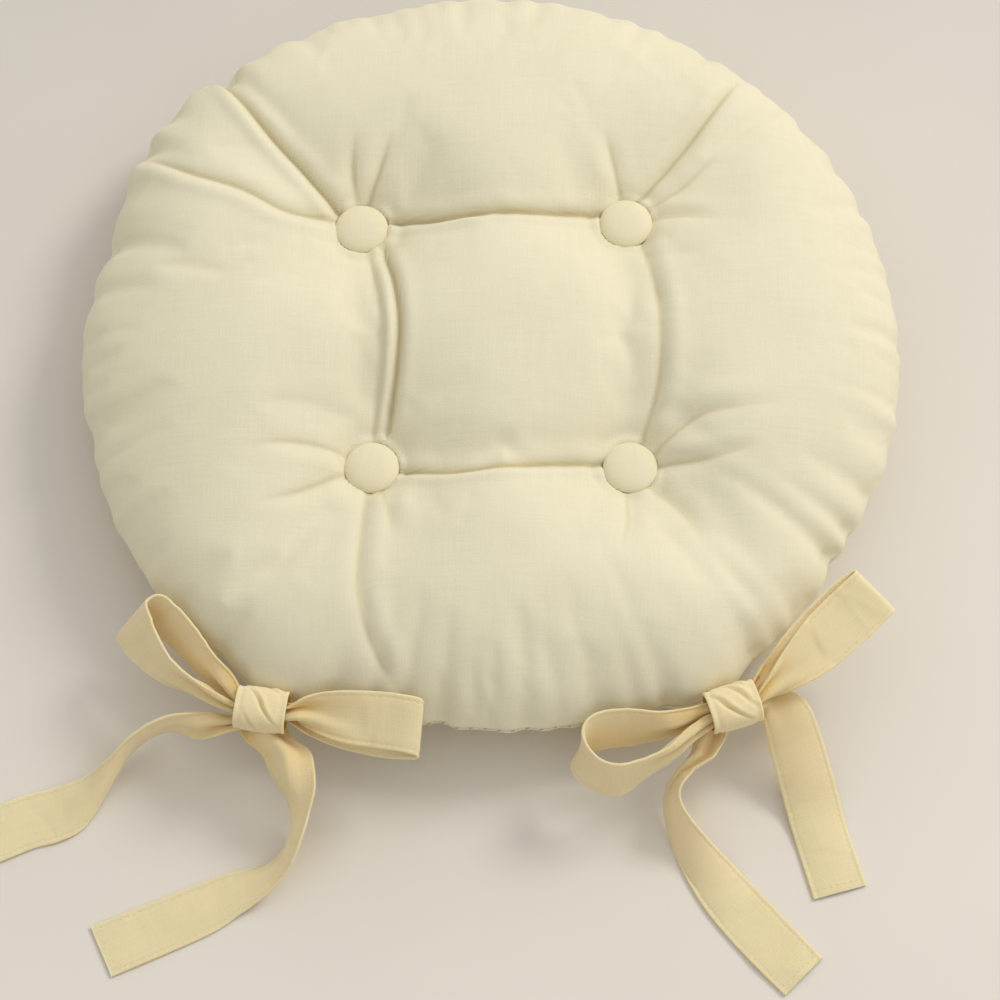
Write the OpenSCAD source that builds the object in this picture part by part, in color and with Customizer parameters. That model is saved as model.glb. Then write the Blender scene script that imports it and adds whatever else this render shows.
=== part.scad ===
// Round tufted chair seat pad with two pairs of ties, in millimetres.
// The pad lies on the plane z = 0 and its middle stands over the origin.
// +Z points up, +Y points to the front of the seat, and the ties are on the -Y side.

/* [Pad] */
// Diameter across the seam
pad_d = 400; // [330:5:480]
// Height of the crown above the underside
pad_h = 76; // [62:1:92]
// Height of the seam above the underside
seam_z = 33; // [27:1:40]
// Diameter of the flat part of the underside
base_d = 300; // [240:5:320]
// Thickness of the cover cloth
cloth_t = 1; // [0.6:0.1:1.4]
// Width of the seam allowance that is turned inside
seam_allowance = 10; // [6:1:14]
// Thickness of the sewing thread
thread_d = 0.8; // [0.6:0.1:1]

/* [Tufting] */
// Distance between neighbouring tufts
tuft_pitch = 130; // [105:5:160]
// Depth of each hollow in the top
tuft_depth = 26; // [20:1:32]
// Width of each hollow in the top
tuft_w = 90; // [75:1:95]
// Depth of each hollow in the underside
under_depth = 9; // [7.5:0.5:12]
// Width of each hollow in the underside
under_w = 70; // [56:1:84]
// Thickness of the tufting twine
twine_d = 1.2; // [1:0.1:1.5]

/* [Buttons] */
// Diameter of a covered button
button_d = 26; // [20:0.5:32]
// Height of a covered button
button_h = 6; // [5:0.1:7.5]
// Thickness of the cloth on a button
button_cloth_t = 0.7; // [0.5:0.1:0.9]
// Thickness of the metal shell and of the back plate
shell_t = 0.5; // [0.4:0.1:0.8]
// Thickness of the shank wire
shank_wire_d = 1.2; // [1:0.1:1.5]
// Distance between the legs of the shank
shank_w = 6; // [5.5:0.1:7]
// Diameter of the plain button on the underside
under_button_d = 18; // [15:1:22]
// Thickness of the plain button on the underside
under_button_t = 3; // [2:0.5:3.5]
// Distance between the two strands of twine, and between the plain button's holes
strand_gap = 4; // [3.6:0.1:4.6]

/* [Ties] */
// Width of a tie
tie_w = 26; // [22:0.5:31]
// Thickness of a tie
tie_t = 1.6; // [1.2:0.1:1.9]
// Width of the gathered ties where they are sewn in the seam
stem_w = 14; // [11:1:17]
// Length of the turn of strap around a knot
knot_len = 24; // [20:1:28]
// Width of a knot, front to back
knot_w = 20; // [19:1:24]
// Height of a knot
knot_h = 16; // [15:1:19]
// Length of the seam that is closed by hand
closing_len = 112; // [80:4:140]

/* [Clearances] */
// Gap between neighbouring soft pieces
soft_gap = 0.3; // [0.2:0.05:0.5]
// Gap around wire, thread and twine
thread_gap = 0.1; // [0.05:0.05:0.2]
// Least height of a tie above the resting plane
floor_gap = 0.2; // [0.1:0.1:0.5]

/* [Hidden] */
TUFTS = ["front_left", "front_right", "back_left", "back_right"];
TUFT_PARTS = ["button_cover", "button_shell", "button_back", "button_shank", "twine", "under_button"];
SIDES = ["left", "right"];
TIE_PARTS = ["knot_core", "knot_wrap", "outer_loop", "inner_loop", "outer_tail", "inner_tail", "tie_stitches"];
NODES = concat(
    ["top_cover", "bottom_cover", "fibre_filling", "seam_thread", "closing_stitches"],
    [for (t = TUFTS, p = TUFT_PARTS) str(t, "_", p)],
    [for (s = SIDES, p = TIE_PARTS) str(s, "_", p)]);
node = "all";

pad_r = pad_d / 2;
base_r = base_d / 2;
lift = 0.01; // overshoot of a cut past the face that it opens
fine = 96;

// --- Profile of the pad -------------------------------------------------------------------

dome_power = 3; // how squarely the top rounds over to the seam
arc_steps = 14;

// Points of the top surface from the height rise above the seam to the middle, set in by d
function top_arc(d, rise = 0) = let (h = pad_h - d - seam_z, first = asin(rise / h))
    [for (i = [0:arc_steps]) let (a = first + (90 - first) * i / arc_steps)
        [(pad_r - d) * pow(cos(a), 2 / dome_power), seam_z + h * sin(a)]];

// Points of the rounded underside from the flat to the height drop below the seam, set in by d
function side_arc(d, drop = 0) = let (h = seam_z - d, last = acos(drop / h))
    [for (i = [0:arc_steps]) let (a = last * i / arc_steps)
        [base_r + (pad_r - d - base_r) * sin(a), d + h * (1 - cos(a))]];

// Height of the undimpled top over a point at the distance r from the middle
function top_height(r) = seam_z + (pad_h - seam_z) * sqrt(1 - pow(r / pad_r, dome_power));

module turned(points) rotate_extrude($fn = fine) polygon(points);

// The whole pad, without its hollows, set in by d, with a groove that clears the seam allowance
module pad_body(d) turned(concat(
    [[0, d]], side_arc(d, d),
    [[pad_r - seam_allowance - d, seam_z - d], [pad_r - seam_allowance - d, seam_z + d]],
    top_arc(d, d)));

module ring(r_in, r_out, z, h) translate([0, 0, z]) difference() {
    cylinder(r = r_out, h = h, $fn = fine);
    translate([0, 0, -lift]) cylinder(r = r_in, h = h + 2 * lift, $fn = fine);
}

// --- Tufts --------------------------------------------------------------------------------

// Where each tuft wandered from its corner of the square as it was pulled in by hand
tuft_shift = [[2, -3], [2, 0], [9, -2], [2, -2]];
tuft_at = [for (i = [0:3]) tuft_shift[i]
    + [(i % 2 == 0 ? -1 : 1) * tuft_pitch / 2, (i < 2 ? 1 : -1) * tuft_pitch / 2]];

function ball_r(w, depth) = (w * w / 4 + depth * depth) / (2 * depth);
function ball_dip(r, ball) = ball - sqrt(ball * ball - r * r);
top_ball = ball_r(tuft_w, tuft_depth);
under_ball = ball_r(under_w, under_depth);
hollow_z = top_height(norm([tuft_pitch / 2, tuft_pitch / 2])) - tuft_depth;

button_r = button_d / 2;
button_z = hollow_z + ball_dip(button_r, top_ball) + soft_gap;
wire_r = shank_wire_d / 2;
twine_r = twine_d / 2;
thread_r = thread_d / 2;
strand_r = strand_gap / 2;
shank_leg = shank_w / 2;
shank_mid = button_z - 1;
shank_low = shank_mid - shank_leg - wire_r;
twine_bend = shank_mid - shank_leg + wire_r + twine_r + thread_gap - strand_r;
well_r = shank_leg + wire_r + soft_gap * 2;
well_z = shank_low - soft_gap;
twine_hole_r = strand_r + twine_r + soft_gap;
under_button_r = under_button_d / 2;
under_button_z = under_depth - ball_dip(under_button_r, under_ball) - soft_gap - under_button_t;

// The hollows of the top and the underside, with the well for each shank, made larger by d
module hollows(d) for (p = tuft_at) translate([p[0], p[1], 0]) {
    translate([0, 0, hollow_z + top_ball]) sphere(r = top_ball + d, $fn = fine);
    translate([0, 0, well_z - d]) cylinder(r = well_r + d, h = tuft_depth, $fn = 32);
    translate([0, 0, under_depth - under_ball]) sphere(r = under_ball + d, $fn = fine);
}

module twine_holes(r) for (p = tuft_at) translate([p[0], p[1], -1])
    cylinder(r = r, h = pad_h, $fn = 32);

// --- Tie routes ---------------------------------------------------------------------------

// The routes were laid out by hand around a pad of this radius, seam height and crown height,
// with ties of this width. They follow the pad when its size changes.
route_r = 200;
route_seam = 33;
route_crown = 76;
route_tie_w = 26;
floor_z = floor_gap + tie_t / 2;

function on_pad(p) = [
    p[0] * pad_r / route_r,
    p[1] * pad_r / route_r,
    p[2] < route_seam ? p[2] * seam_z / route_seam
        : seam_z + (p[2] - route_seam) * (pad_h - seam_z) / (route_crown - route_seam)];

// Middle of each knot and the slant of its axis
knot_at = [for (p = [[-105.5, -186.5, 43], [113, -185, 43]]) on_pad(p)];
knot_turn = [-8, 17];

// Each station of a route is the pair of opposite edge points of the tie there.
outer_loops = [
    [[[-111, -181, 45], [-112, -185, 38]], [[-117, -179, 46], [-119, -182, 38]],
     [[-125, -166, 47], [-130, -172, 32]], [[-132, -156, 48], [-140, -161, 28]],
     [[-147, -137, 50], [-157, -144, 27]], [[-153, -132, 50], [-166, -139, 28]],
     [[-158, -133, 50], [-173, -141, 28]], [[-160, -138, 50], [-175, -147, 28]],
     [[-152, -155, 47], [-164, -160, 29]], [[-143, -166, 46], [-152, -168, 30]],
     [[-131, -175, 45], [-138, -175, 33]], [[-119, -182, 44], [-121, -184, 39]],
     [[-111, -185, 43], [-112, -189, 38]]],
    [[[118, -184, 45], [119, -187, 40]], [[123, -179, 46], [126, -183, 40]],
     [[136, -161, 51], [144, -175, 42]], [[147, -146, 53], [160, -166, 43]],
     [[160, -133, 55], [177, -152, 45]], [[168, -126, 57], [187, -142, 47]],
     [[171, -123, 57], [190, -139, 47]], [[169, -122, 54], [187, -138, 44]],
     [[160, -128, 52], [176, -147, 41]], [[148, -140, 50], [160, -160, 39]],
     [[135, -155, 48], [145, -171, 38]], [[121, -177, 43], [125, -181, 38]],
     [[117, -182, 42], [118, -185, 38]]]];

inner_loops = [
    [[[-100, -186, 46], [-101, -190, 41]], [[-93, -186, 48], [-93, -191, 42]],
     [[-83, -182, 51], [-83, -196, 42]], [[-69, -181, 54], [-69, -202, 42]],
     [[-50, -182, 55], [-50, -206, 44]], [[-38, -184, 56], [-40, -208, 45]],
     [[-32, -185, 55], [-34, -209, 43]], [[-31, -186, 53], [-33, -210, 41]],
     [[-36, -186, 52], [-38, -209, 38]], [[-50, -186, 50], [-50, -208, 37]],
     [[-69, -184, 48], [-69, -203, 35]], [[-83, -185, 45], [-83, -197, 36]],
     [[-93, -185, 44], [-93, -190, 38]], [[-100, -184, 43], [-101, -188, 38]]],
    [[[107, -184, 46], [108, -187, 40]], [[100, -187, 46], [100, -190, 39]],
     [[84, -190, 47], [86, -196, 34]], [[69, -189, 48], [71, -198, 27]],
     [[55, -189, 48], [54, -200, 25]], [[47, -192, 48], [43, -203, 25]],
     [[44, -198, 47], [39, -208, 24]], [[46, -205, 46], [43, -215, 23]],
     [[52, -211, 45], [51, -219, 22]], [[60, -213, 45], [61, -220, 22]],
     [[69, -211, 45], [71, -214, 26]], [[80, -206, 46], [82, -208, 31]],
     [[90, -198, 46], [92, -200, 37]], [[100, -191, 45], [101, -194, 39]],
     [[107, -188, 44], [108, -191, 40]]]];

outer_tails = [
    [[[-109, -190, 31], [-97, -190, 32]], [[-110, -197, 33], [-92, -197, 34]],
     [[-106, -204, 32], [-83, -204, 35]], [[-102, -212, 25], [-81, -214, 36]],
     [[-96, -220, 15], [-81, -223, 34]], [[-93, -229, 6], [-84, -232, 29]],
     [[-94, -237, 2], [-87, -241, 26]], [[-99, -243, 1], [-91, -251, 20]],
     [[-108, -248, 1], [-99, -261, 11]], [[-124, -253, 1], [-115, -272, 3]],
     [[-142, -260, 1], [-132, -283, 1]], [[-185, -278, 1], [-174, -302, 1]]],
    [[[97, -200, 30], [106, -202, 31]], [[93, -203, 30], [105, -206, 32]],
     [[88, -207, 25], [99, -210, 32]], [[84, -211, 16], [93, -213, 32]],
     [[82, -217, 6], [88, -219, 30]], [[82, -226, 2], [88, -225, 26]],
     [[84, -237, 1], [93, -232, 20]], [[89, -250, 1], [104, -241, 11]],
     [[101, -271, 1], [121, -256, 2]], [[118, -292, 1], [138, -275, 1]],
     [[136, -311, 1], [154, -293, 1]]]];

inner_tails = [
    [[[-121, -188, 37], [-121, -193, 33]], [[-128, -187, 37], [-127, -194, 30]],
     [[-137, -187, 36], [-137, -193, 22]], [[-148, -187, 35], [-151, -187, 14]],
     [[-158, -190, 32], [-163, -190, 7]], [[-169, -196, 26], [-173, -200, 2]],
     [[-180, -203, 17], [-183, -219, 2]], [[-190, -207, 9], [-191, -231, 1]],
     [[-206, -211, 2], [-202, -237, 1]], [[-222, -215, 1], [-213, -240, 1]],
     [[-245, -225, 1], [-234, -249, 1]], [[-285, -241, 1], [-274, -265, 1]]],
    [[[127, -184, 33], [133, -171, 34]], [[128, -187, 31], [140, -173, 34]],
     [[129, -191, 27], [149, -179, 31]], [[132, -200, 19], [155, -190, 23]],
     [[138, -218, 7], [163, -212, 8]], [[143, -236, 2], [168, -230, 2]],
     [[151, -265, 1], [176, -258, 1]]]];

// The edge of a tie at a station: side is 1 or -1, and grow widens the tie
function edge(s, side, grow) =
    let (a = on_pad(s[0]), b = on_pad(s[1]), half = (a - b) / 2 * (tie_w + grow) / route_tie_w)
    let (p = (a + b) / 2 + side * half)
    [p[0], p[1], max(p[2], floor_z)];

// A smooth curve through points, with n steps between neighbours
function curve_point(p, i, t) =
    let (a = p[max(i - 1, 0)], b = p[i], c = p[i + 1], d = p[min(i + 2, len(p) - 1)])
    (2 * b + (c - a) * t + (2 * a - 5 * b + 4 * c - d) * t * t + (3 * b - a - 3 * c + d) * t * t * t) / 2;
function curve(p, n) = [for (i = [0:len(p) - 2], k = [0:n - 1]) curve_point(p, i, k / n), p[len(p) - 1]];

function unit(v) = v / norm(v);

// A flat band of thickness t between two edge curves
module band(one, other, t) {
    last = len(one) - 1;
    mid = (one + other) / 2;
    off = [for (i = [0:last]) t / 2 * unit(cross(one[i] - other[i], mid[min(i + 1, last)] - mid[max(i - 1, 0)]))];
    points = [for (i = [0:last]) each [one[i] + off[i], other[i] + off[i], other[i] - off[i], one[i] - off[i]]];
    sides = [for (i = [0:last - 1], k = [0:3])
        let (a = 4 * i + k, b = 4 * i + (k + 1) % 4)
        each [[a, b, b + 4], [a, b + 4, a + 4]]];
    polyhedron(points, concat(sides, [[3, 2, 1], [3, 1, 0]],
        [[4 * last, 4 * last + 1, 4 * last + 2], [4 * last, 4 * last + 2, 4 * last + 3]]));
}

module tie(route) band(curve([for (s = route) edge(s, 1, 0)], 4), curve([for (s = route) edge(s, -1, 0)], 4), tie_t);

// --- Knots and their stems ----------------------------------------------------------------

stem_in = seam_allowance - 2; // how far the ties run in between the two covers
stem_t = 2 * tie_t;
thread_in = 4; // the sewing line's distance from the pad's edge

// The gathered ties from the seam to the middle of knot k, made larger by d all round
module stem(k, d) {
    out = unit([knot_at[k][0], knot_at[k][1]]);
    across = [-out[1], out[0], 0] * (stem_w / 2 + d);
    knot_r = norm([knot_at[k][0], knot_at[k][1]]);
    path = [[pad_r - stem_in - d, seam_z], [pad_r + 2, seam_z],
            [(pad_r + knot_r) / 2, (seam_z + knot_at[k][2]) / 2], [knot_r - 2, knot_at[k][2]]];
    line = [for (p = path) [out[0] * p[0], out[1] * p[0], p[1]]];
    band([for (p = line) p + across], [for (p = line) p - across], stem_t + 2 * d);
}

module seam_slots(d) for (k = [0, 1]) stem(k, d);

function oval(a, b) = [for (i = [0:31]) [a * cos(i * 360 / 32), b * sin(i * 360 / 32)]];

// An oval bar along the axis of knot k
module knot_bar(k, w, h, length) translate(knot_at[k]) rotate([0, 0, knot_turn[k]]) rotate([90, 0, 90])
    translate([0, 0, -length / 2]) linear_extrude(height = length) polygon(oval(w / 2, h / 2));

// --- Sub-parts of the pad -----------------------------------------------------------------

module top_cover() color([0.91, 0.87, 0.76]) difference() {
    union() {
        difference() {
            turned(concat([[0, seam_z]], top_arc(0)));
            hollows(0);
            difference() {
                turned(concat([[0, seam_z - 1], [pad_r - cloth_t, seam_z - 1]], top_arc(cloth_t)));
                hollows(cloth_t);
            }
        }
        ring(pad_r - cloth_t - seam_allowance, pad_r - cloth_t / 2, seam_z, cloth_t);
    }
    thread_groove();
    seam_slots(soft_gap);
    twine_holes(twine_hole_r);
}

module bottom_cover() color([0.88, 0.84, 0.73]) difference() {
    union() {
        difference() {
            turned(concat([[0, 0]], side_arc(0), [[0, seam_z]]));
            hollows(0);
            difference() {
                turned(concat([[0, cloth_t]], side_arc(cloth_t),
                              [[pad_r - cloth_t, seam_z + 1], [0, seam_z + 1]]));
                hollows(cloth_t);
            }
        }
        ring(pad_r - cloth_t - seam_allowance, pad_r - cloth_t / 2, seam_z - cloth_t, cloth_t);
    }
    thread_groove();
    seam_slots(soft_gap);
    twine_holes(twine_hole_r);
}

module fibre_filling() color([0.97, 0.97, 0.95]) difference() {
    pad_body(cloth_t + soft_gap);
    hollows(cloth_t + soft_gap);
    seam_slots(2 * soft_gap);
    twine_holes(twine_hole_r + soft_gap);
}

module hoop(r, wire) rotate_extrude($fn = fine) translate([r, 0]) circle(r = wire, $fn = 16);

module thread_groove() translate([0, 0, seam_z]) hoop(pad_r - thread_in, thread_r + thread_gap);

module seam_thread() color([0.86, 0.8, 0.66]) translate([0, 0, seam_z]) hoop(pad_r - thread_in, thread_r);

// Small upright stitches that close the seam on the tie side
stitch_len = 4;
stitch_pitch = 7;
closing_turn = -88;
module closing_stitches() color([0.86, 0.8, 0.66]) {
    step = stitch_pitch / pad_r * 180 / PI;
    count = floor(closing_len / stitch_pitch);
    for (i = [0:count]) rotate([0, 0, closing_turn + (i - count / 2) * step])
        translate([pad_r + thread_r + thread_gap, 0, seam_z - stitch_len / 2])
        cylinder(r = thread_r, h = stitch_len, $fn = 16);
}

// --- Sub-parts of a tuft ------------------------------------------------------------------

function quarter(r, z, h) = [for (i = [0:8]) [r * cos(i * 90 / 8), z + h * sin(i * 90 / 8)]];
rim_h = 1.5; // height at which a button starts to round over
shell_r = button_r - button_cloth_t - thread_gap;
tuck_r = shell_r - shell_t - thread_gap;
back_r = tuck_r - button_cloth_t - thread_gap;
back_z = 1;
tuck_h = rim_h;

module at_tuft(i, z) translate([tuft_at[i][0], tuft_at[i][1], z]) children();

module button_cover(i) color([0.92, 0.87, 0.74]) at_tuft(i, button_z) rotate_extrude($fn = 64)
    polygon(concat(
        [[tuck_r - button_cloth_t, 0], [button_r, 0]],
        quarter(button_r, rim_h, button_h - rim_h),
        [[0, button_h - button_cloth_t]],
        [for (j = [7:-1:0]) quarter(button_r - button_cloth_t, rim_h, button_h - rim_h - button_cloth_t)[j]],
        [[button_r - button_cloth_t, button_cloth_t], [tuck_r, button_cloth_t], [tuck_r, tuck_h],
         [tuck_r - button_cloth_t, tuck_h]]));

module button_shell(i) color([0.75, 0.76, 0.78]) at_tuft(i, button_z) rotate_extrude($fn = 64) {
    cap_h = button_h - rim_h - button_cloth_t - thread_gap;
    polygon(concat(
        [[shell_r - shell_t, button_cloth_t + thread_gap], [shell_r, button_cloth_t + thread_gap]],
        quarter(shell_r, rim_h, cap_h),
        [[0, rim_h + cap_h - shell_t]],
        [for (j = [7:-1:0]) quarter(shell_r - shell_t, rim_h, cap_h - shell_t)[j]]));
}

module button_back(i) color([0.72, 0.73, 0.75]) at_tuft(i, button_z) difference() {
    translate([0, 0, back_z]) cylinder(r = back_r, h = shell_t, $fn = 64);
    for (y = [-shank_leg, shank_leg]) translate([0, y, 0])
        cylinder(r = wire_r + thread_gap, h = button_h, $fn = 24);
}

module half_hoop(r, wire, from) rotate([90, 0, 0]) rotate([0, 0, from])
    rotate_extrude(angle = 180, $fn = 48) translate([r, 0]) circle(r = wire, $fn = 24);

module button_shank(i) color([0.7, 0.71, 0.73]) at_tuft(i, 0) rotate([0, 0, 90]) {
    bar_z = button_z + back_z + shell_t + wire_r + thread_gap;
    translate([0, 0, shank_mid]) half_hoop(shank_leg, wire_r, 180);
    for (x = [-shank_leg, shank_leg]) {
        translate([x, 0, shank_mid]) cylinder(r = wire_r, h = bar_z - shank_mid, $fn = 24);
        translate([x, 0, bar_z]) sphere(r = wire_r, $fn = 24);
    }
    translate([-shank_leg, 0, bar_z]) rotate([0, 90, 0]) cylinder(r = wire_r, h = shank_w, $fn = 24);
}

// A round tube along a closed path in the plane y = 0; a station is its point and its radius
module closed_tube(stations) {
    count = len(stations);
    sides = 8;
    points = [for (i = [0:count - 1])
        let (run = stations[(i + 1) % count][0] - stations[(i + count - 1) % count][0])
        let (n = cross(unit(run), [0, 1, 0]))
        each [for (k = [0:sides - 1])
            stations[i][0] + stations[i][1] * [n[0] * cos(k * 360 / sides), sin(k * 360 / sides),
                                               n[2] * cos(k * 360 / sides)]]];
    polyhedron(points, [for (i = [0:count - 1], k = [0:sides - 1])
        let (a = sides * i, b = sides * ((i + 1) % count), m = (k + 1) % sides)
        each [[a + k, b + m, b + k], [a + k, a + m, b + m]]]);
}

// Half a turn of twine that starts at the angle from; middle_r is its radius half way along
function strand_arc(from, z, middle_r) = [for (a = [0:30:180])
    [[strand_r * cos(from + a), 0, z + strand_r * sin(from + a)], abs(a - 90) < 45 ? middle_r : twine_r]];

twine_knot_r = 1.1;
module twine(i) color([0.93, 0.92, 0.88]) at_tuft(i, 0) {
    closed_tube(concat(strand_arc(0, twine_bend, twine_r), strand_arc(180, under_button_z, twine_knot_r)));
}

module under_button(i) color([0.85, 0.82, 0.74]) at_tuft(i, under_button_z) difference() {
    cylinder(r = under_button_r, h = under_button_t, $fn = 48);
    for (x = [-strand_r, strand_r]) translate([x, 0, -1])
        cylinder(r = twine_r + thread_gap, h = under_button_t + 2, $fn = 24);
    translate([0, 0, -lift]) cylinder(r = under_button_r * 0.6, h = 0.6, $fn = 48);
}

// --- Sub-parts of the ties ----------------------------------------------------------------

tie_colour = [0.92, 0.84, 0.66];
knot_bore_w = knot_w - 2 * tie_t;
knot_bore_h = knot_h - 2 * tie_t;

module knot_core(k) color(tie_colour * 0.93) {
    stem(k, 0);
    knot_bar(k, knot_bore_w - 2 * soft_gap, knot_bore_h - 2 * soft_gap, knot_len - 6);
}

module knot_wrap(k) color(tie_colour * 0.96) difference() {
    knot_bar(k, knot_w, knot_h, knot_len);
    knot_bar(k, knot_bore_w, knot_bore_h, knot_len + 2);
    stem(k, soft_gap);
}

module outer_loop(k) color(tie_colour) tie(outer_loops[k]);
module inner_loop(k) color(tie_colour) tie(inner_loops[k]);
module outer_tail(k) color(tie_colour) tie(outer_tails[k]);
module inner_tail(k) color(tie_colour) tie(inner_tails[k]);

// Upright stitches through the gathered ties, along the sewing line
module tie_stitches(k) color([0.86, 0.8, 0.66]) {
    out = atan2(knot_at[k][1], knot_at[k][0]);
    for (y = [-1.5:1:1.5]) rotate([0, 0, out])
        translate([pad_r - thread_in + 2, y * stem_w / 4, seam_z - stem_t / 2 - soft_gap / 2])
        cylinder(r = thread_r, h = stem_t + soft_gap, $fn = 16);
}

// --- Nodes --------------------------------------------------------------------------------

function shown(name) = node == "all" || node == name;

if (shown("top_cover")) top_cover();
if (shown("bottom_cover")) bottom_cover();
if (shown("fibre_filling")) fibre_filling();
if (shown("seam_thread")) seam_thread();
if (shown("closing_stitches")) closing_stitches();
for (i = [0:3]) {
    if (shown(str(TUFTS[i], "_button_cover"))) button_cover(i);
    if (shown(str(TUFTS[i], "_button_shell"))) button_shell(i);
    if (shown(str(TUFTS[i], "_button_back"))) button_back(i);
    if (shown(str(TUFTS[i], "_button_shank"))) button_shank(i);
    if (shown(str(TUFTS[i], "_twine"))) twine(i);
    if (shown(str(TUFTS[i], "_under_button"))) under_button(i);
}
for (k = [0, 1]) {
    if (shown(str(SIDES[k], "_knot_core"))) knot_core(k);
    if (shown(str(SIDES[k], "_knot_wrap"))) knot_wrap(k);
    if (shown(str(SIDES[k], "_outer_loop"))) outer_loop(k);
    if (shown(str(SIDES[k], "_inner_loop"))) inner_loop(k);
    if (shown(str(SIDES[k], "_outer_tail"))) outer_tail(k);
    if (shown(str(SIDES[k], "_inner_tail"))) inner_tail(k);
    if (shown(str(SIDES[k], "_tie_stitches"))) tie_stitches(k);
}
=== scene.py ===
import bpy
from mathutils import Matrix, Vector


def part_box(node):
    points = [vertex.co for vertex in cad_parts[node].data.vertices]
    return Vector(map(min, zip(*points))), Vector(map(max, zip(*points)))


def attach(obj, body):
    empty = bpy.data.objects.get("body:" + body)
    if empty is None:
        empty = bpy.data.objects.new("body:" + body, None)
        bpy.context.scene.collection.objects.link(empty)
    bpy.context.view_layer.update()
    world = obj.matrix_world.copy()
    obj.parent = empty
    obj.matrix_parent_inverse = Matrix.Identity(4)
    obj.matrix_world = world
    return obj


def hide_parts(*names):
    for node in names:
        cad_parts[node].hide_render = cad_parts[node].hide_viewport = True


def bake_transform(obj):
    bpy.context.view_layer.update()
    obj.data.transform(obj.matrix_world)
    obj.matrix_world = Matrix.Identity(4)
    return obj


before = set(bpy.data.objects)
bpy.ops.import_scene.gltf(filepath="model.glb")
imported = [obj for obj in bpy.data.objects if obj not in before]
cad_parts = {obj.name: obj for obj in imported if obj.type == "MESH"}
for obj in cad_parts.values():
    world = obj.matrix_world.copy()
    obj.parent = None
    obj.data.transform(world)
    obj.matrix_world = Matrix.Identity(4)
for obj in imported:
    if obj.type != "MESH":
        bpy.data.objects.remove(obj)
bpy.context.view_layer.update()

import math

import bpy
import numpy as np
from mathutils import Vector

# --- The view ---------------------------------------------------------------------------
# The pad lies on a table top and is looked down on from its tie side, so that the four
# buttons, both bows and the front edge show.
look_at = Vector((0.005, -0.061, 0.0))
camera_height_angle = math.radians(66.0)
camera_distance = 1.6

camera_data = bpy.data.cameras.new("view")
camera_data.sensor_width = 36.0
camera_data.lens = 117.3
camera_data.clip_start = 0.05
camera = bpy.data.objects.new("view", camera_data)
camera.location = look_at + camera_distance * Vector(
    (0.0, -math.cos(camera_height_angle), math.sin(camera_height_angle)))
camera.rotation_euler = (math.pi / 2 - camera_height_angle, 0.0, 0.0)
bpy.context.scene.collection.objects.link(camera)
bpy.context.scene.camera = camera


# --- Table top --------------------------------------------------------------------------
# A plain warm white painted top under the pad. Its colour is painted lighter on the side of
# the ties and darker away from them: painted light and shade for how the lamp's light falls
# across the table. It is a stage and no part of the pad.
def new_material(name, colour, roughness):
    """A material with its Principled shader, ready for more nodes."""
    material = bpy.data.materials.new(name)
    material.use_nodes = True
    shader = material.node_tree.nodes["Principled BSDF"]
    shader.inputs["Base Color"].default_value = (*colour, 1.0)
    shader.inputs["Roughness"].default_value = roughness
    return material, shader


def mesh_piece(name, points, faces, material):
    """A mesh object from points in metres and its faces."""
    mesh = bpy.data.meshes.new(name)
    mesh.from_pydata([tuple(p) for p in points], [], [tuple(f) for f in faces])
    mesh.update()
    mesh.polygons.foreach_set("use_smooth", [True] * len(mesh.polygons))
    mesh.materials.append(material)
    piece = bpy.data.objects.new(name, mesh)
    bpy.context.scene.collection.objects.link(piece)
    return piece


def join(owner, source, target):
    """Links two sockets of a material, a world or a node group."""
    getattr(owner, "node_tree", owner).links.new(source, target)


def add_node(owner, kind, **values):
    """A shader node with its settings and inputs. An input may be another node's output."""
    made = getattr(owner, "node_tree", owner).nodes.new(kind)
    for key, value in values.items():
        if key not in made.inputs:
            setattr(made, key, value)
        elif isinstance(value, bpy.types.NodeSocket):
            join(owner, value, made.inputs[key])
        else:
            made.inputs[key].default_value = value
    return made


def new_group(name, inputs, outputs):
    """A shader node group with those named sockets: its tree, what it is given and what it
    puts out."""
    group = bpy.data.node_groups.new(name, "ShaderNodeTree")
    for in_out, sockets in (("INPUT", inputs), ("OUTPUT", outputs)):
        for socket, kind in sockets.items():
            group.interface.new_socket(name=socket, in_out=in_out,
                                       socket_type=f"NodeSocket{kind}")
    given, result = group.nodes.new("NodeGroupInput"), group.nodes.new("NodeGroupOutput")
    return group, given.outputs, result.inputs


def mix_tones(owner, share, dark, light):
    """A colour that goes from dark to light as the share goes from 0 to 1."""
    mixed = add_node(owner, "ShaderNodeMix", data_type="RGBA")
    share_in, dark_in, light_in = (mixed.inputs[i] for i in (0, 6, 7))
    for source, target in ((share, share_in), (dark, dark_in), (light, light_in)):
        join(owner, source, target)
    return mixed.outputs[2]


def mottle_group():
    """A cloudy mottle between two tones. Puts out its colour and its mask."""
    group, given, result = new_group(
        "mottle", {"Vector": "Vector", "Scale": "Float", "Detail": "Float", "Roughness": "Float",
                   "Distortion": "Float", "Low": "Float", "High": "Float", "Dark": "Color",
                   "Light": "Color"}, {"Color": "Color", "Mask": "Float"})
    cloud = add_node(group, "ShaderNodeTexNoise", Vector=given["Vector"], Scale=given["Scale"],
                     Detail=given["Detail"], Roughness=given["Roughness"],
                     Distortion=given["Distortion"])
    share = add_node(group, "ShaderNodeMapRange", Value=cloud.outputs["Fac"],
                     **{"From Min": given["Low"], "From Max": given["High"]})
    join(group, mix_tones(group, share.outputs["Result"], given["Dark"], given["Light"]),
         result["Color"])
    join(group, cloud.outputs["Fac"], result["Mask"])
    return group


mottle = mottle_group()


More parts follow.
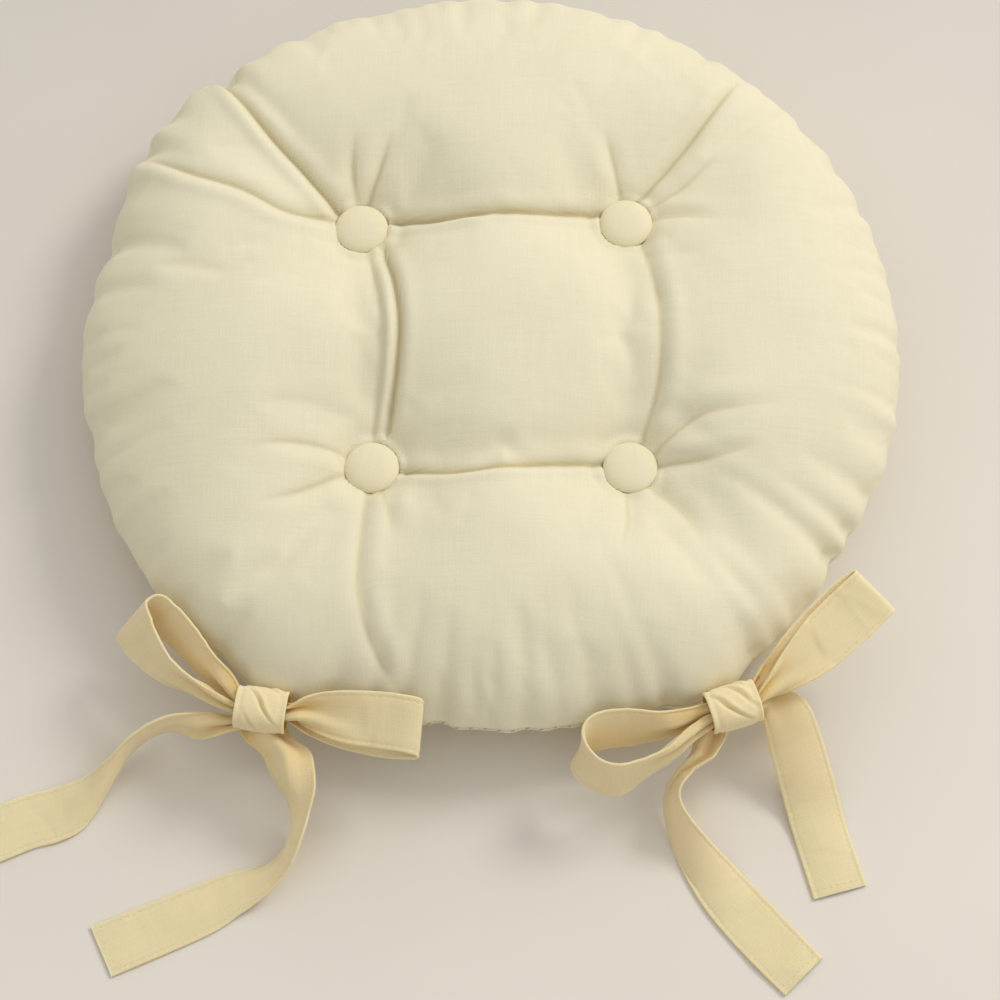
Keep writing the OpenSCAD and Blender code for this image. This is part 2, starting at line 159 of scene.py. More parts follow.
def mottled(material, dark, light, scale, detail, low=0.0, high=1.0, rough=0.5, twisted=0.0):
    """Puts a mottle in a material, by the place on the object."""
    place = add_node(material, "ShaderNodeTexCoord")
    return add_node(material, "ShaderNodeGroup", node_tree=mottle, Vector=place.outputs["Object"],
                    Scale=scale, Detail=detail, Roughness=rough, Distortion=twisted, Low=low,
                    High=high, Dark=(*dark, 1.0), Light=(*light, 1.0)).outputs


table_paint, table_shader = new_material("table_paint", (0.76, 0.705, 0.625), 0.6)
paint_tones = mottled(table_paint, (0.745, 0.699, 0.630), (0.775, 0.727, 0.657), 5.0, 3.0,
                      low=0.35, high=0.7)
# painted light and shade: the table's colour is scaled from 1.05 on the ties' side to 0.87 away
# from them
paint_place = add_node(table_paint, "ShaderNodeTexCoord")
painted_light_slope = add_node(table_paint, "ShaderNodeVectorMath", operation="DOT_PRODUCT",
                      Vector=paint_place.outputs["Object"])
painted_light_slope.inputs[1].default_value = (-0.15, 1.0, 0.0)
painted_light_level = add_node(table_paint, "ShaderNodeMapRange", Value=painted_light_slope.outputs["Value"],
                       **{"From Min": -0.30, "From Max": 0.30, "To Min": 1.05, "To Max": 0.87})
paint_mixed = add_node(table_paint, "ShaderNodeVectorMath", operation="SCALE",
                       Vector=paint_tones["Color"], Scale=painted_light_level.outputs["Result"])
join(table_paint, paint_mixed.outputs["Vector"], table_shader.inputs["Base Color"])

table_half = 3.0
table_z = -0.0002
table_top = mesh_piece(
    "table_top",
    [(x * table_half, y * table_half, table_z) for x, y in ((-1, -1), (1, -1), (1, 1), (-1, 1))],
    [(0, 1, 2, 3)], table_paint)

# --- Light ------------------------------------------------------------------------------
# One broad lamp from the right of the pad's front, and soft light from all round that is a
# little stronger from that side and from above.
bpy.context.scene.view_settings.view_transform = "Standard"
lamp_distance = 3.2
lamp_data = bpy.data.lights.new("window", "AREA")
lamp_data.shape = "DISK"
lamp_data.size = 1.10
lamp_data.energy = 38.0
lamp_data.color = (1.0, 0.975, 0.93)
lamp = bpy.data.objects.new("window", lamp_data)
lamp_turn = math.radians(37.0)
lamp_rise = math.radians(42.0)
toward_lamp = Vector((math.cos(lamp_turn) * math.cos(lamp_rise),
                      math.sin(lamp_turn) * math.cos(lamp_rise), math.sin(lamp_rise)))
lamp.location = look_at + lamp_distance * toward_lamp
lamp.rotation_euler = toward_lamp.to_track_quat("Z", "Y").to_euler()
bpy.context.scene.collection.objects.link(lamp)

surround = bpy.data.worlds.new("surround")
surround.use_nodes = True
sky = surround.node_tree.nodes["Background"]
sky.inputs["Color"].default_value = (1.0, 0.985, 0.955, 1.0)
sky_place = add_node(surround, "ShaderNodeTexCoord")
sky_tilt = add_node(surround, "ShaderNodeVectorMath", operation="DOT_PRODUCT",
                    Vector=sky_place.outputs["Generated"])
sky_tilt.inputs[1].default_value = (0.11, 0.15, 0.20)
sky_level = add_node(surround, "ShaderNodeMath", operation="ADD", Value=sky_tilt.outputs["Value"])
sky_level.inputs[1].default_value = 0.575
join(surround, sky_level.outputs["Value"], sky.inputs["Strength"])
bpy.context.scene.world = surround


# --- Cover cloth ------------------------------------------------------------------------
# Plain-weave cotton, warm cream and matt, with the slubs and the faint mottle of undyed
# yarn. Its look is a group, because the covers, the buttons and the ties all use it.
SLUBS = ((0.02, 1.0, 1.0), (1.0, 0.02, 1.0))   # slow along a thread and quick across it


def cotton_group():
    """Plain weave: over-and-under threads with slubs, in two tones with a faint mottle, and
    with painted shade: a warmer tone deep in creases and folds, for the shade and the light that
    the cloth throws on itself there. Puts out a height and a colour."""
    group, given, result = new_group(
        "woven_cotton", {"Vector": "Vector", "Threads per metre": "Float", "Dark": "Color",
                         "Light": "Color", "Painted shade tone": "Color", "Painted shade": "Float"},
        {"Height": "Float", "Color": "Color"})

    def maths(operation, *values):
        made = add_node(group, "ShaderNodeMath", operation=operation)
        for socket, value in zip(made.inputs, values):
            if isinstance(value, bpy.types.NodeSocket):
                join(group, value, socket)
            else:
                socket.default_value = value
        return made.outputs["Value"]

    scaled = add_node(group, "ShaderNodeVectorMath", operation="SCALE", Vector=given["Vector"],
                      Scale=given["Threads per metre"]).outputs["Vector"]
    wander = add_node(group, "ShaderNodeTexNoise", Vector=scaled, Scale=0.08, Detail=2.0)
    apart = add_node(group, "ShaderNodeSeparateXYZ", Vector=scaled)
    drift = maths("MULTIPLY", maths("SUBTRACT", wander.outputs["Fac"], 0.5), 5.0)
    warp, weft = (maths("SINE", maths("MULTIPLY", maths("ADD", place, drift), math.pi))
                  for place in (apart.outputs["X"], apart.outputs["Y"]))
    ridges = maths("ADD", maths("ABSOLUTE", warp), maths("ABSOLUTE", weft))
    height = maths("ADD", maths("MULTIPLY", ridges, 0.5),
                   maths("MULTIPLY", maths("MULTIPLY", warp, weft), 0.25))
    yarns = []
    for stretch in SLUBS:
        squeezed = add_node(group, "ShaderNodeVectorMath", operation="MULTIPLY", Vector=scaled)
        squeezed.inputs[1].default_value = stretch
        yarns.append(add_node(group, "ShaderNodeTexNoise", Vector=squeezed.outputs["Vector"],
                              Scale=0.9, Detail=1.0).outputs["Fac"])
    slub = maths("ADD", *yarns)
    join(group, maths("ADD", height, maths("MULTIPLY", slub, 0.5)), result["Height"])
    tone = maths("ADD", maths("MULTIPLY", height, 0.35), maths("MULTIPLY", slub, 0.4))
    cloud = add_node(group, "ShaderNodeTexNoise", Vector=given["Vector"], Scale=22.0, Detail=4.0,
                     Roughness=0.6)
    share = add_node(group, "ShaderNodeMapRange", **{"From Min": 0.55, "From Max": 1.0},
                     Value=maths("MULTIPLY_ADD", cloud.outputs["Fac"], 0.55, tone))
    plain = mix_tones(group, share.outputs["Result"], given["Dark"], given["Light"])
    join(group, mix_tones(group, given["Painted shade"], plain, given["Painted shade tone"]), result["Color"])
    return group


woven_cotton = cotton_group()


def relief(material, shader, height, strength, depth):
    """Raises a material's surface by a height mask."""
    bump = add_node(material, "ShaderNodeBump", Height=height, Strength=strength, Distance=depth)
    join(material, bump.outputs["Normal"], shader.inputs["Normal"])


def cotton(name, dark, light, painted_shade_tone=(0.52, 0.42, 0.20), threads=1700.0, sheen=0.25,
           bump=0.35):
    """Matt cotton cloth between two tones, with a weave of that many threads per metre.
    Gives its material and its shader."""
    material, shader = new_material(name, light, 0.88)
    shader.inputs["Sheen Weight"].default_value = sheen
    shader.inputs["Sheen Roughness"].default_value = 0.55
    shader.inputs["Sheen Tint"].default_value = (1.0, 0.95, 0.82, 1.0)
    shader.inputs["Specular IOR Level"].default_value = 0.2
    place = add_node(material, "ShaderNodeUVMap", uv_map="cloth")
    # the painted shade: a point attribute that warms the cloth's tone in creases and folds, for
    # the shade and the light that the cloth throws on itself there
    painted_shade = add_node(material, "ShaderNodeAttribute", attribute_name="painted_shade")
    weave = add_node(material, "ShaderNodeGroup", node_tree=woven_cotton,
                     Vector=place.outputs["UV"], Dark=(*dark, 1.0), Light=(*light, 1.0),
                     **{"Threads per metre": threads, "Painted shade tone": (*painted_shade_tone, 1.0),
                        "Painted shade": painted_shade.outputs["Fac"]})
    join(material, weave.outputs["Color"], shader.inputs["Base Color"])
    relief(material, shader, weave.outputs["Height"], bump, 0.00025)
    return material, shader


cream_cotton, _ = cotton("cream_cotton", (0.755, 0.70, 0.50), (0.84, 0.785, 0.585))

# --- Top cover --------------------------------------------------------------------------
# A disc of cream cotton, sewn to the bottom cover round its edge and drawn down by twine
# at four tufts, so that it puffs up between them and creases from tuft to tuft.
pad_low, pad_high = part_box("top_cover")
pad_r = (pad_high.x - pad_low.x) / 2
seam_z = pad_low.z
crown_z = pad_high.z
cloth_t = 0.001
TUFTS = ("front_left", "front_right", "back_left", "back_right")
button_boxes = [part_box(f"{tuft}_button_cover") for tuft in TUFTS]
tuft_at = [((low.x + high.x) / 2, (low.y + high.y) / 2) for low, high in button_boxes]
button_z = button_boxes[0][0].z
button_h = button_boxes[0][1].z - button_z
button_r = (button_boxes[0][1].x - button_boxes[0][0].x) / 2


def bell(value, middle, width):
    """A smooth hump of height 1."""
    return np.exp(-((value - middle) / width) ** 2)


def ease(value, low, high):
    """0 below low, 1 above high, smooth between them."""
    t = np.clip((value - low) / (high - low), 0.0, 1.0)
    return t * t * (3 - 2 * t)


def turn_from(angle, middle):
    """The difference of two angles in degrees, between -180 and 180."""
    return (angle - middle + 180.0) % 360.0 - 180.0


# The edge is not a true circle: it is fuller front left, pulled out where the ties are sewn
# in, and drawn in between them, where the seam was closed by hand. A row is a direction
# and a width in degrees, and a reach in metres.
EDGE_SWELLS = ((141, 16, 0.009), (-120, 7, 0.006), (-59, 7, 0.006), (-90, 20, -0.010),
               (118, 9, 0.003), (-31, 8, -0.003), (163, 9, -0.003), (-166, 8, -0.002),
               (35, 20, 0.002), (-86, 11, 0.004), (90, 34, 0.004))
# Short gathers that run in from the seam: direction, width, length and depth.
GATHERS = ((131, 1.6, 0.040, 0.0062), (118, 1.8, 0.026, 0.0026), (125, 1.2, 0.020, 0.0022),
           (141, 1.5, 0.030, 0.0030), (147, 1.4, 0.034, 0.0042), (155, 1.7, 0.024, 0.0020),
           (163, 1.8, 0.030, 0.0030),
           (172, 1.8, 0.018, 0.0009), (-178, 2.0, 0.020, 0.0010), (-167, 2.0, 0.026, 0.0018),
           (-157, 1.6, 0.016, 0.0008), (-149, 2.2, 0.020, 0.0011), (-138, 1.6, 0.022, 0.0010),
           (-128, 1.5, 0.024, 0.0016), (-112, 1.6, 0.030, 0.0026), (-107, 1.2, 0.026, 0.0024),
           (-102, 1.3, 0.030, 0.0026), (-97, 1.2, 0.022, 0.0020), (-84, 1.4, 0.012, 0.0010),
           (-75, 1.6, 0.014, 0.0012), (-66, 1.4, 0.022, 0.0020), (-52, 1.6, 0.028, 0.0024),
           (-43, 1.6, 0.024, 0.0018), (-34, 1.4, 0.036, 0.0038), (-29, 1.2, 0.030, 0.0032),
           (-23, 1.4, 0.034, 0.0032), (-15, 1.8, 0.020, 0.0013), (-7, 1.3, 0.014, 0.0008),
           (1, 1.8, 0.015, 0.0006), (9, 1.2, 0.014, 0.0009), (15, 1.6, 0.012, 0.0005),
           (23, 1.4, 0.016, 0.0009), (30, 1.2, 0.014, 0.0006), (38, 1.7, 0.014, 0.0008),
           (47, 1.2, 0.012, 0.0005), (57, 2.0, 0.016, 0.0007), (72, 1.6, 0.012, 0.0004),
           (88, 2.2, 0.014, 0.0005), (105, 2.0, 0.018, 0.0010))
SCALLOPS_DEEP = 0.00035


def scallops(angle):
    """The fine waves that the sewing stitches pull into the edge."""
    rad = np.radians(angle)
    return (np.sin(61 * rad + 2.2 * np.sin(5 * rad))
            + 0.6 * np.sin(97 * rad + 1.5 * np.sin(7 * rad)))


def edge_reach(angle):
    """Radius of the edge in that direction, in degrees."""
    reach = np.full_like(angle, pad_r) - SCALLOPS_DEEP * scallops(angle)
    for middle, width, swell in EDGE_SWELLS:
        reach += swell * bell(turn_from(angle, middle), 0.0, width)
    for middle, width, _, depth in GATHERS:
        reach -= 0.75 * depth * bell(turn_from(angle, middle), 0.0, width)
    return reach


def seam_height(angle):
    """Height of the seam in that direction; it rides up and down a little."""
    rad = np.radians(angle)
    return seam_z + 0.0014 * np.sin(3 * rad + 0.6) + 0.0009 * np.sin(5 * rad + 2.0)


def lip(angle):
    """1 where the hand-closed seam stands out as a thin lip, and 0 elsewhere."""
    return ease(angle, -104.0, -98.0) * (1 - ease(angle, -74.0, -66.0))


def gather_depth(angle, inward):
    """How deep the gathers are at a direction and a distance in from the edge."""
    depth_here = np.zeros_like(angle)
    for middle, width, length, depth in GATHERS:
        spread = width * (1 + 0.7 * inward / length)
        depth_here += (depth * bell(turn_from(angle, middle), 0.0, spread)
                       * np.exp(-(inward / length) ** 1.6))
    return depth_here + SCALLOPS_DEEP * scallops(angle) * np.exp(-(inward / 0.014) ** 1.5)


def band(one, other):
    """Faces between two closed rows of point numbers."""
    return [(one[k - 1], other[k - 1], other[k], one[k]) for k in [*range(1, len(one)), 0]]


def round_net(count):
    """A square net of count by count cells pressed into a unit disc: points, quads, rim."""
    steps = np.linspace(-1.0, 1.0, count + 1)
    across, along = np.meshgrid(steps, steps, indexing="ij")
    x = across * np.sqrt(1 - along ** 2 / 2)
    y = along * np.sqrt(1 - across ** 2 / 2)
    row = count + 1
    quads = [(i * row + j, (i + 1) * row + j, (i + 1) * row + j + 1, i * row + j + 1)
             for i in range(count) for j in range(count)]
    rim = ([i * row for i in range(count)] + [count * row + j for j in range(count)]
           + [i * row + count for i in range(count, 0, -1)] + list(range(count, 0, -1)))
    return np.stack([x.ravel(), y.ravel()], axis=1), quads, rim


RIM_RISE = 0.0015   # the cloth turns inwards this far above and below the seam
# the turned-in seam allowance: how far in from the edge, and how far from the seam's plane
RIM_RINGS = ((0.0003, 0.0009), (0.0010, 0.0005), (0.0022, 0.0003), (0.0050, 0.0003),
             (0.0090, 0.0003))


def cover_net(count, height_at, shape_z, side):
    """Points, faces and flat cloth coordinates of a cover before it is blown up. side is 1
    for the top, where z goes up from the seam, and -1 for the bottom."""
    disc, quads, rim = round_net(count)
    share = np.clip(np.hypot(disc[:, 0], disc[:, 1]), 0.0, 1.0)
    angle = np.degrees(np.arctan2(disc[:, 1], disc[:, 0]))
    radii = pad_r * np.sin(np.linspace(0.0, math.pi / 2, 600))
    heights = height_at(radii)
    run = np.concatenate([[0.0], np.cumsum(np.hypot(np.diff(radii), np.diff(heights)))])
    length = run[-1]
    radius = np.interp(share * length, run, radii)
    height = np.interp(share * length, run, heights)
    inward = (1 - share) * length
    grow = 1 + (edge_reach(angle) / pad_r - 1) * ease(share, 0.2, 1.0)
    out_x, out_y = np.cos(np.radians(angle)), np.sin(np.radians(angle))
    x, y = radius * grow * out_x, radius * grow * out_y
    pinch = gather_depth(angle, inward)
    steep = ease(share, 0.82, 1.0)
    thin = lip(angle) * np.exp(-(inward / 0.016) ** 2)
    z = seam_z + (seam_height(angle) - seam_z) * ease(share, 0.5, 1.0)
    z += side * (RIM_RISE + height * (1 - 0.62 * thin) * (1 - RIM_RISE / height.max()))
    z += shape_z(x, y, share)
    z -= side * pinch * (1 - steep) * 0.9
    x -= pinch * steep * out_x * ease(inward, 0.0, 0.006)
    y -= pinch * steep * out_y * ease(inward, 0.0, 0.006)
    points = np.stack([x, y, z], axis=1)
    cloth = np.stack([share * length * out_x, share * length * out_y], axis=1)
    faces = list(quads)
    previous = rim
    rim_angle, rim_out = angle[rim], np.stack([out_x[rim], out_y[rim]], axis=1)
    for inset, rise in RIM_RINGS:
        first = len(points)
        reach = np.hypot(points[rim, 0], points[rim, 1]) - inset
        ring = np.column_stack([rim_out * reach[:, None], seam_height(rim_angle) + side * rise])
        points = np.concatenate([points, ring])
        cloth = np.concatenate([cloth, rim_out * (length + inset)])
        loop = range(first, first + len(rim))
        faces += band(previous, loop)
        previous = loop
    if side < 0:
        faces = [tuple(reversed(face)) for face in faces]
    share = np.concatenate([share, np.full(len(points) - len(share), 1.0)])
    return points, faces, cloth, share


# A crease is a line of points in millimetres from a tuft, its depth and half width in
# millimetres, the shares of its length between which it fades out, and the side that its
# ridge is on: 1 for the left of its line and -1 for the right.
TO_TUFT, TO_EDGE, SHORT = (0.96, 1.12), (0.80, 1.15), (0.40, 1.0)
CREASES = (
    (((-49, 66), (-24, 63), (0, 64), (27, 66), (54, 70)), 3.8, 2.1, TO_TUFT, -1),
    (((-51, 47), (-46, 26), (-43, 2), (-44, -22), (-47, -44)), 4.4, 1.9, TO_TUFT, -1),
    (((-59, 46), (-54, 22), (-51, -2), (-52, -28), (-55, -48)), 1.0, 2.6, TO_TUFT, -1),
    (((-43, -69), (-19, -74), (5, -73), (29, -69), (53, -65)), 3.4, 2.1, TO_TUFT, -1),
    (((76, 50), (81, 24), (83, -4), (81, -30), (75, -50)), 2.2, 3.0, TO_TUFT, 1),
    (((-73, 69), (-90, 88), (-108, 108), (-125, 132), (-138, 153)), 4.6, 2.5, TO_EDGE, 1),
    (((-76, 66), (-100, 67), (-122, 77), (-148, 87), (-170, 102)), 3.0, 2.8, TO_EDGE, 1),
    (((-60, 76), (-54, 92), (-48, 110)), 2.6, 3.4, SHORT, 1),
    (((-66, 77), (-68, 94), (-66, 112)), 1.8, 3.4, SHORT, 1),
    (((73, 78), (88, 94), (104, 114), (121, 140)), 3.0, 2.6, TO_EDGE, 1),
    (((78, 74), (96, 84), (116, 104)), 1.8, 3.0, SHORT, 1),
    (((80, 68), (98, 66), (114, 61)), 2.0, 3.0, SHORT, 1),
    (((64, 79), (60, 96), (56, 112)), 2.4, 3.4, SHORT, 1),
    (((80, -66), (104, -66), (130, -60)), 2.2, 2.8, SHORT, 1),
    (((78, -60), (98, -46), (120, -42), (150, -37)), 2.0, 3.4, SHORT, 1),
    (((76, -76), (92, -92), (104, -112)), 1.8, 3.6, SHORT, 1),
    (((66, -81), (66, -100), (62, -118)), 1.6, 3.6, SHORT, 1),
    (((-57, -80), (-59, -106), (-60, -134), (-55, -157), (-45, -174)), 1.9, 3.2, TO_EDGE, 1),
    (((-50, -79), (-46, -96), (-44, -112)), 1.6, 3.4, SHORT, 1),
    (((-69, -72), (-90, -84), (-112, -92)), 1.8, 3.8, SHORT, 1),
    (((-71, -62), (-94, -60), (-118, -64)), 1.6, 3.6, SHORT, 1),
)


def smooth_line(points, steps):
    """A smooth curve through the points, with that many steps between neighbours."""
    points = np.asarray(points, float)
    line = []
    for i in range(len(points) - 1):
        a, b = points[max(i - 1, 0)], points[i]
        c, d = points[i + 1], points[min(i + 2, len(points) - 1)]
        for t in np.arange(steps) / steps:
            line.append((2 * b + (c - a) * t + (2 * a - 5 * b + 4 * c - d) * t ** 2
                         + (3 * b - a - 3 * c + d) * t ** 3) / 2)
    line.append(points[-1])
    return np.array(line)


UNDER_BUTTON = 0.0045   # how far a crease goes on under its button


def beside_crease(points, x, y):
    """For each place, its signed distance from a crease, the share along it and the unit
    vector across the crease there."""
    line = smooth_line(np.array(points) / 1000.0, 10)
    near, share = np.full_like(x, 1.0), np.zeros_like(x)
    across = np.zeros((2,) + x.shape)
    for i in range(len(line) - 1):
        start, run = line[i], line[i + 1] - line[i]
        length = math.hypot(*run)
        first, last = i == 0, i == len(line) - 2
        t = np.clip(((x - start[0]) * run[0] + (y - start[1]) * run[1]) / length ** 2,
                    -UNDER_BUTTON / length * first, 1.0 + UNDER_BUTTON / length * last)
        away = np.hypot(x - start[0] - t * run[0], y - start[1] - t * run[1])
        aside = ((y - start[1]) * run[0] - (x - start[0]) * run[1]) / length
        closer = away < np.abs(near)
        near[closer] = (away * np.where(aside < 0, -1.0, 1.0))[closer]
        share[closer] = np.clip(i + t[closer], 0.0, len(line) - 1) / (len(line) - 1)
        across[0][closer], across[1][closer] = -run[1] / length, run[0] / length
    return near, share, across


# painted shade along the creases: how far it changes the tone in the deepest creases, and from
# what depth it is full
CREASE_PAINTED_SHADE = 0.75   # how far the tone changes in the deepest creases
DEEPEST = 3.6         # from this depth in millimetres a crease has the full change
RIM_LIFT = 0.0026   # how high the cloth closes round a button, above the button's foot


def close_round_buttons(points):
    """Lifts the cloth against the rim of each button, where the twine pulls it tight."""
    x, y, z = points.T.copy()
    for tx, ty in tuft_at:
        away = np.hypot(x - tx, y - ty)
        level = button_z + RIM_LIFT * ease(away, button_r - 0.0012, button_r + 0.0008)
        beside = ((away > button_r - 0.0012) * (z > seam_z)
                  * (1 - ease(away, button_r + 0.003, 0.024)))
        z += np.maximum(level - z, 0.0) * beside
    return np.stack([x, y, z], axis=1)


def crease(points):
    """Draws the net of the cloth close along each crease and then folds it down there. Gives
    the points, and the painted shade of each one along the crease lines, from 0 to 1."""
    x, y, z = points.T.copy()
    painted_shade = np.zeros_like(z)
    on_top = ease(z, seam_z + 0.002, seam_z + 0.010)
    for line, depth, width, (fade_from, fade_to), side in CREASES:
        near, share, across = beside_crease(line, x, y)
        fade = ease(share, -0.08, 0.03) * (1 - ease(share, fade_from, fade_to)) * on_top
        pull = -0.5 * near * bell(near, 0.0, 0.005) * fade * ease(share, 0.0, 0.05)
        x, y = x + pull * across[0], y + pull * across[1]
        near += pull
        half = width / 1000.0
        z -= depth / 1000.0 * fade * (np.exp(-np.abs(near / half) ** 1.5)
                                      - 0.42 * bell(side * near, 2.2 * half, 1.4 * half)
                                      - 0.12 * bell(side * near, -2.6 * half, 1.8 * half))
        # painted shade: a thin warmer line along each crease, for the shade in its fold
        line_of_shade = bell(near + 0.25 * side * half, 0.0, 0.0011)
        shade = CREASE_PAINTED_SHADE * min(1.0, depth / DEEPEST) * fade * line_of_shade
        painted_shade = np.maximum(painted_shade, shade)
    return np.stack([x, y, z], axis=1), painted_shade


def dome(radius):
    """Height of the plump top above the seam at a distance from the middle."""
    return (crown_z - seam_z) * np.sqrt(np.maximum(0.0, 1 - (radius / pad_r) ** 3))


CHANNEL_DEEP = 0.0050   # soft valleys between neighbouring tufts and from tufts outwards
BUTTON_SINK = 0.0004    # how far the cloth lies below a button
SHANK_DIP = 0.0046      # the dip round the shank, under a button
COLLAR = 0.0032         # how far the cloth swells up round a button's rim
LUMPS, LUMP_H = 9, 0.0004   # slow waves that the uneven filling leaves in the cloth


def top_shape(x, y, share):
    """The tufts' hollows, the soft valleys and the uneven filling, as a change in height."""
    change = np.zeros_like(x)
    for tx, ty in tuft_at:
        away = np.hypot(x - tx, y - ty)
        depth = seam_z + dome(np.array([math.hypot(tx, ty)]))[0] - (button_z - BUTTON_SINK)
        change -= depth * np.exp(-(np.maximum(away - 0.0124, 0.0) / 0.0205) ** 0.92)
        change -= SHANK_DIP * (1 - ease(away, 0.0045, 0.0105))
        change += (COLLAR * ease(away, button_r - 0.0002, button_r + 0.0014)
                   * (1 - ease(away, 0.018, 0.034)))
        out = np.array([tx, ty]) / math.hypot(tx, ty)
        ahead = x * out[0] + y * out[1] - math.hypot(tx, ty)
        aside = (y - ty) * out[0] - (x - tx) * out[1]
        change -= (CHANNEL_DEEP * bell(aside, 0.0, 0.020) * ease(ahead, 0.005, 0.02)
                   * (1 - ease(ahead, 0.03, 0.09)))
    for one, other in ((0, 1), (2, 3), (0, 2), (1, 3)):
        start = np.array(tuft_at[one])
        run = np.array(tuft_at[other]) - start
        t = ((x - start[0]) * run[0] + (y - start[1]) * run[1]) / (run @ run)
        on_line = np.clip(t, 0.0, 1.0)
        away = np.hypot(x - start[0] - on_line * run[0], y - start[1] - on_line * run[1])
        change -= (1.3 * CHANNEL_DEEP * bell(away, 0.0, 0.015) * ease(t, 0.0, 0.12)
                   * (1 - ease(t, 0.88, 1.0)))
    lumps = np.random.default_rng(5)
    for _ in range(LUMPS):
        turn, wave = lumps.uniform(0, 2 * math.pi), lumps.uniform(6, 13)
        start = lumps.uniform(0, 6.3)
        along = x * math.cos(turn) + y * math.sin(turn)
        change += (LUMP_H * np.sin(2 * math.pi * wave * along + start)
                   * (1 - ease(share, 0.85, 1.0)))
    return change


def points_of(piece):
    """A mesh object's points as rows."""
    flat = np.zeros(len(piece.data.vertices) * 3, np.float32)
    piece.data.vertices.foreach_get("co", flat)
    return flat.reshape(-1, 3).astype(float)


def set_points(piece, points):
    piece.data.vertices.foreach_set("co", np.asarray(points, np.float32).ravel())
    piece.data.update()


def write_painted_shade(piece, painted_shade):
    """Writes each point's painted shade: the warmer tone in creases and folds, for the shade and
    the light that the cloth throws on itself there.
    """
    layer = piece.data.attributes.new("painted_shade", "FLOAT", "POINT")
    layer.data.foreach_set("value", np.asarray(painted_shade, np.float32).ravel())


def add_cloth_map(piece, cloth):
    """Writes flat cloth coordinates, in metres, for each point as the piece's UV map."""
    layer = piece.data.uv_layers.new(name="cloth")
    corner = np.zeros(len(piece.data.loops), np.int32)
    piece.data.loops.foreach_get("vertex_index", corner)
    layer.data.foreach_set("uv", np.asarray(cloth, np.float32)[corner].ravel())


def apply_modifier(piece, kind, **settings):
    """Adds a modifier with those settings, and applies it."""
    modifier = piece.modifiers.new(kind.lower(), kind)
    for key, value in settings.items():
        setattr(modifier, key, value)
    bpy.context.view_layer.objects.active = piece
    bpy.ops.object.modifier_apply(modifier=modifier.name)


LAST_MOMENT = 20   # the frame at which the cloth has come to rest


def blow_up(piece, held, cap, slack, pressure):
    """Blows cloth up against its held points, and keeps what the simulation gives, with no
    point moved by more than cap. slack is the share by which the cloth is cut larger."""
    before = points_of(piece)
    pins = piece.vertex_groups.new(name="held")
    held = np.round(held, 2)
    for weight in np.unique(held[held > 0]):
        pins.add([int(i) for i in np.nonzero(held == weight)[0]], float(weight), "REPLACE")
    modifier = piece.modifiers.new("cloth", "CLOTH")
    cloth = modifier.settings
    cloth.quality = 6
    cloth.mass = 0.15
    cloth.tension_stiffness = 15.0
    cloth.compression_stiffness = 15.0
    cloth.shear_stiffness = 5.0
    cloth.bending_stiffness = 0.4
    cloth.vertex_group_mass = "held"
    cloth.use_pressure = True
    cloth.uniform_pressure_force = pressure
    cloth.shrink_min = -slack
    cloth.effector_weights.gravity = 0.0
    modifier.collision_settings.use_collision = False
    modifier.point_cache.frame_start, modifier.point_cache.frame_end = 1, LAST_MOMENT
    for moment in range(1, LAST_MOMENT + 1):
        bpy.context.scene.frame_set(moment)
    bpy.context.view_layer.objects.active = piece
    bpy.ops.object.modifier_apply(modifier=modifier.name)
    bpy.context.scene.frame_set(1)
    move = points_of(piece) - before
    size = np.linalg.norm(move, axis=1, keepdims=True)
    set_points(piece, before + move * np.minimum(1.0, cap / np.maximum(size, 1e-9)))
    piece.vertex_groups.clear()


def away_from_tufts(points):
    return np.min([np.hypot(points[:, 0] - tx, points[:, 1] - ty) for tx, ty in tuft_at], axis=0)


def sew_down(name, net, held_at_tuft, cap, slack):
    """A cover from its net: blown up, made finer and given its cloth coordinates."""
    points, faces, cloth, share = net
    cover = mesh_piece(name, points, faces, cream_cotton)
    add_cloth_map(cover, cloth)
    held = np.maximum(ease(share, 0.965, 1.0),
                      1 - ease(away_from_tufts(points), held_at_tuft, held_at_tuft + 0.004))
    blow_up(cover, held, cap, slack, pressure=4.0)
    apply_modifier(cover, "SUBSURF", levels=1, render_levels=1)
    return cover


top_cover = sew_down("top_cover_cloth", cover_net(132, dome, top_shape, 1),
                     held_at_tuft=0.0140, cap=0.006, slack=0.012)
creased, painted_shade = crease(close_round_buttons(points_of(top_cover)))
set_points(top_cover, creased)
write_painted_shade(top_cover, painted_shade)
apply_modifier(top_cover, "SOLIDIFY", thickness=cloth_t, offset=-1.0)
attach(top_cover, "pad")
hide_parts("top_cover")

# --- Bottom cover -----------------------------------------------------------------------
# The same cotton under the pad, flat where it rests and rounded up to the seam, with a
# shallow hollow at each tuft where the twine is tied over a small flat button.
bottom_low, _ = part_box("bottom_cover")
flat_r = 0.150
UNDER_HOLLOW = 0.0092
UNDER_HOLLOW_FLAT_R = 0.0100
UNDER_HOLLOW_W = 0.0150


def belly(radius):
    """Depth of the rounded underside below the seam at a distance from the middle."""
    beyond = np.clip((radius - flat_r) / (pad_r - flat_r), 0.0, 1.0)
    return (seam_z - bottom_low.z) * np.sqrt(1 - beyond ** 2)


def bottom_shape(x, y, share):
    change = np.zeros_like(x)
    for tx, ty in tuft_at:
        away = np.hypot(x - tx, y - ty)
        spoke = 1 + 0.22 * np.cos(6 * np.arctan2(y - ty, x - tx) + 40 * tx)
        change += UNDER_HOLLOW * np.exp(-(np.maximum(away - UNDER_HOLLOW_FLAT_R, 0.0)
                                          / (UNDER_HOLLOW_W * spoke)) ** 1.3)
    return change


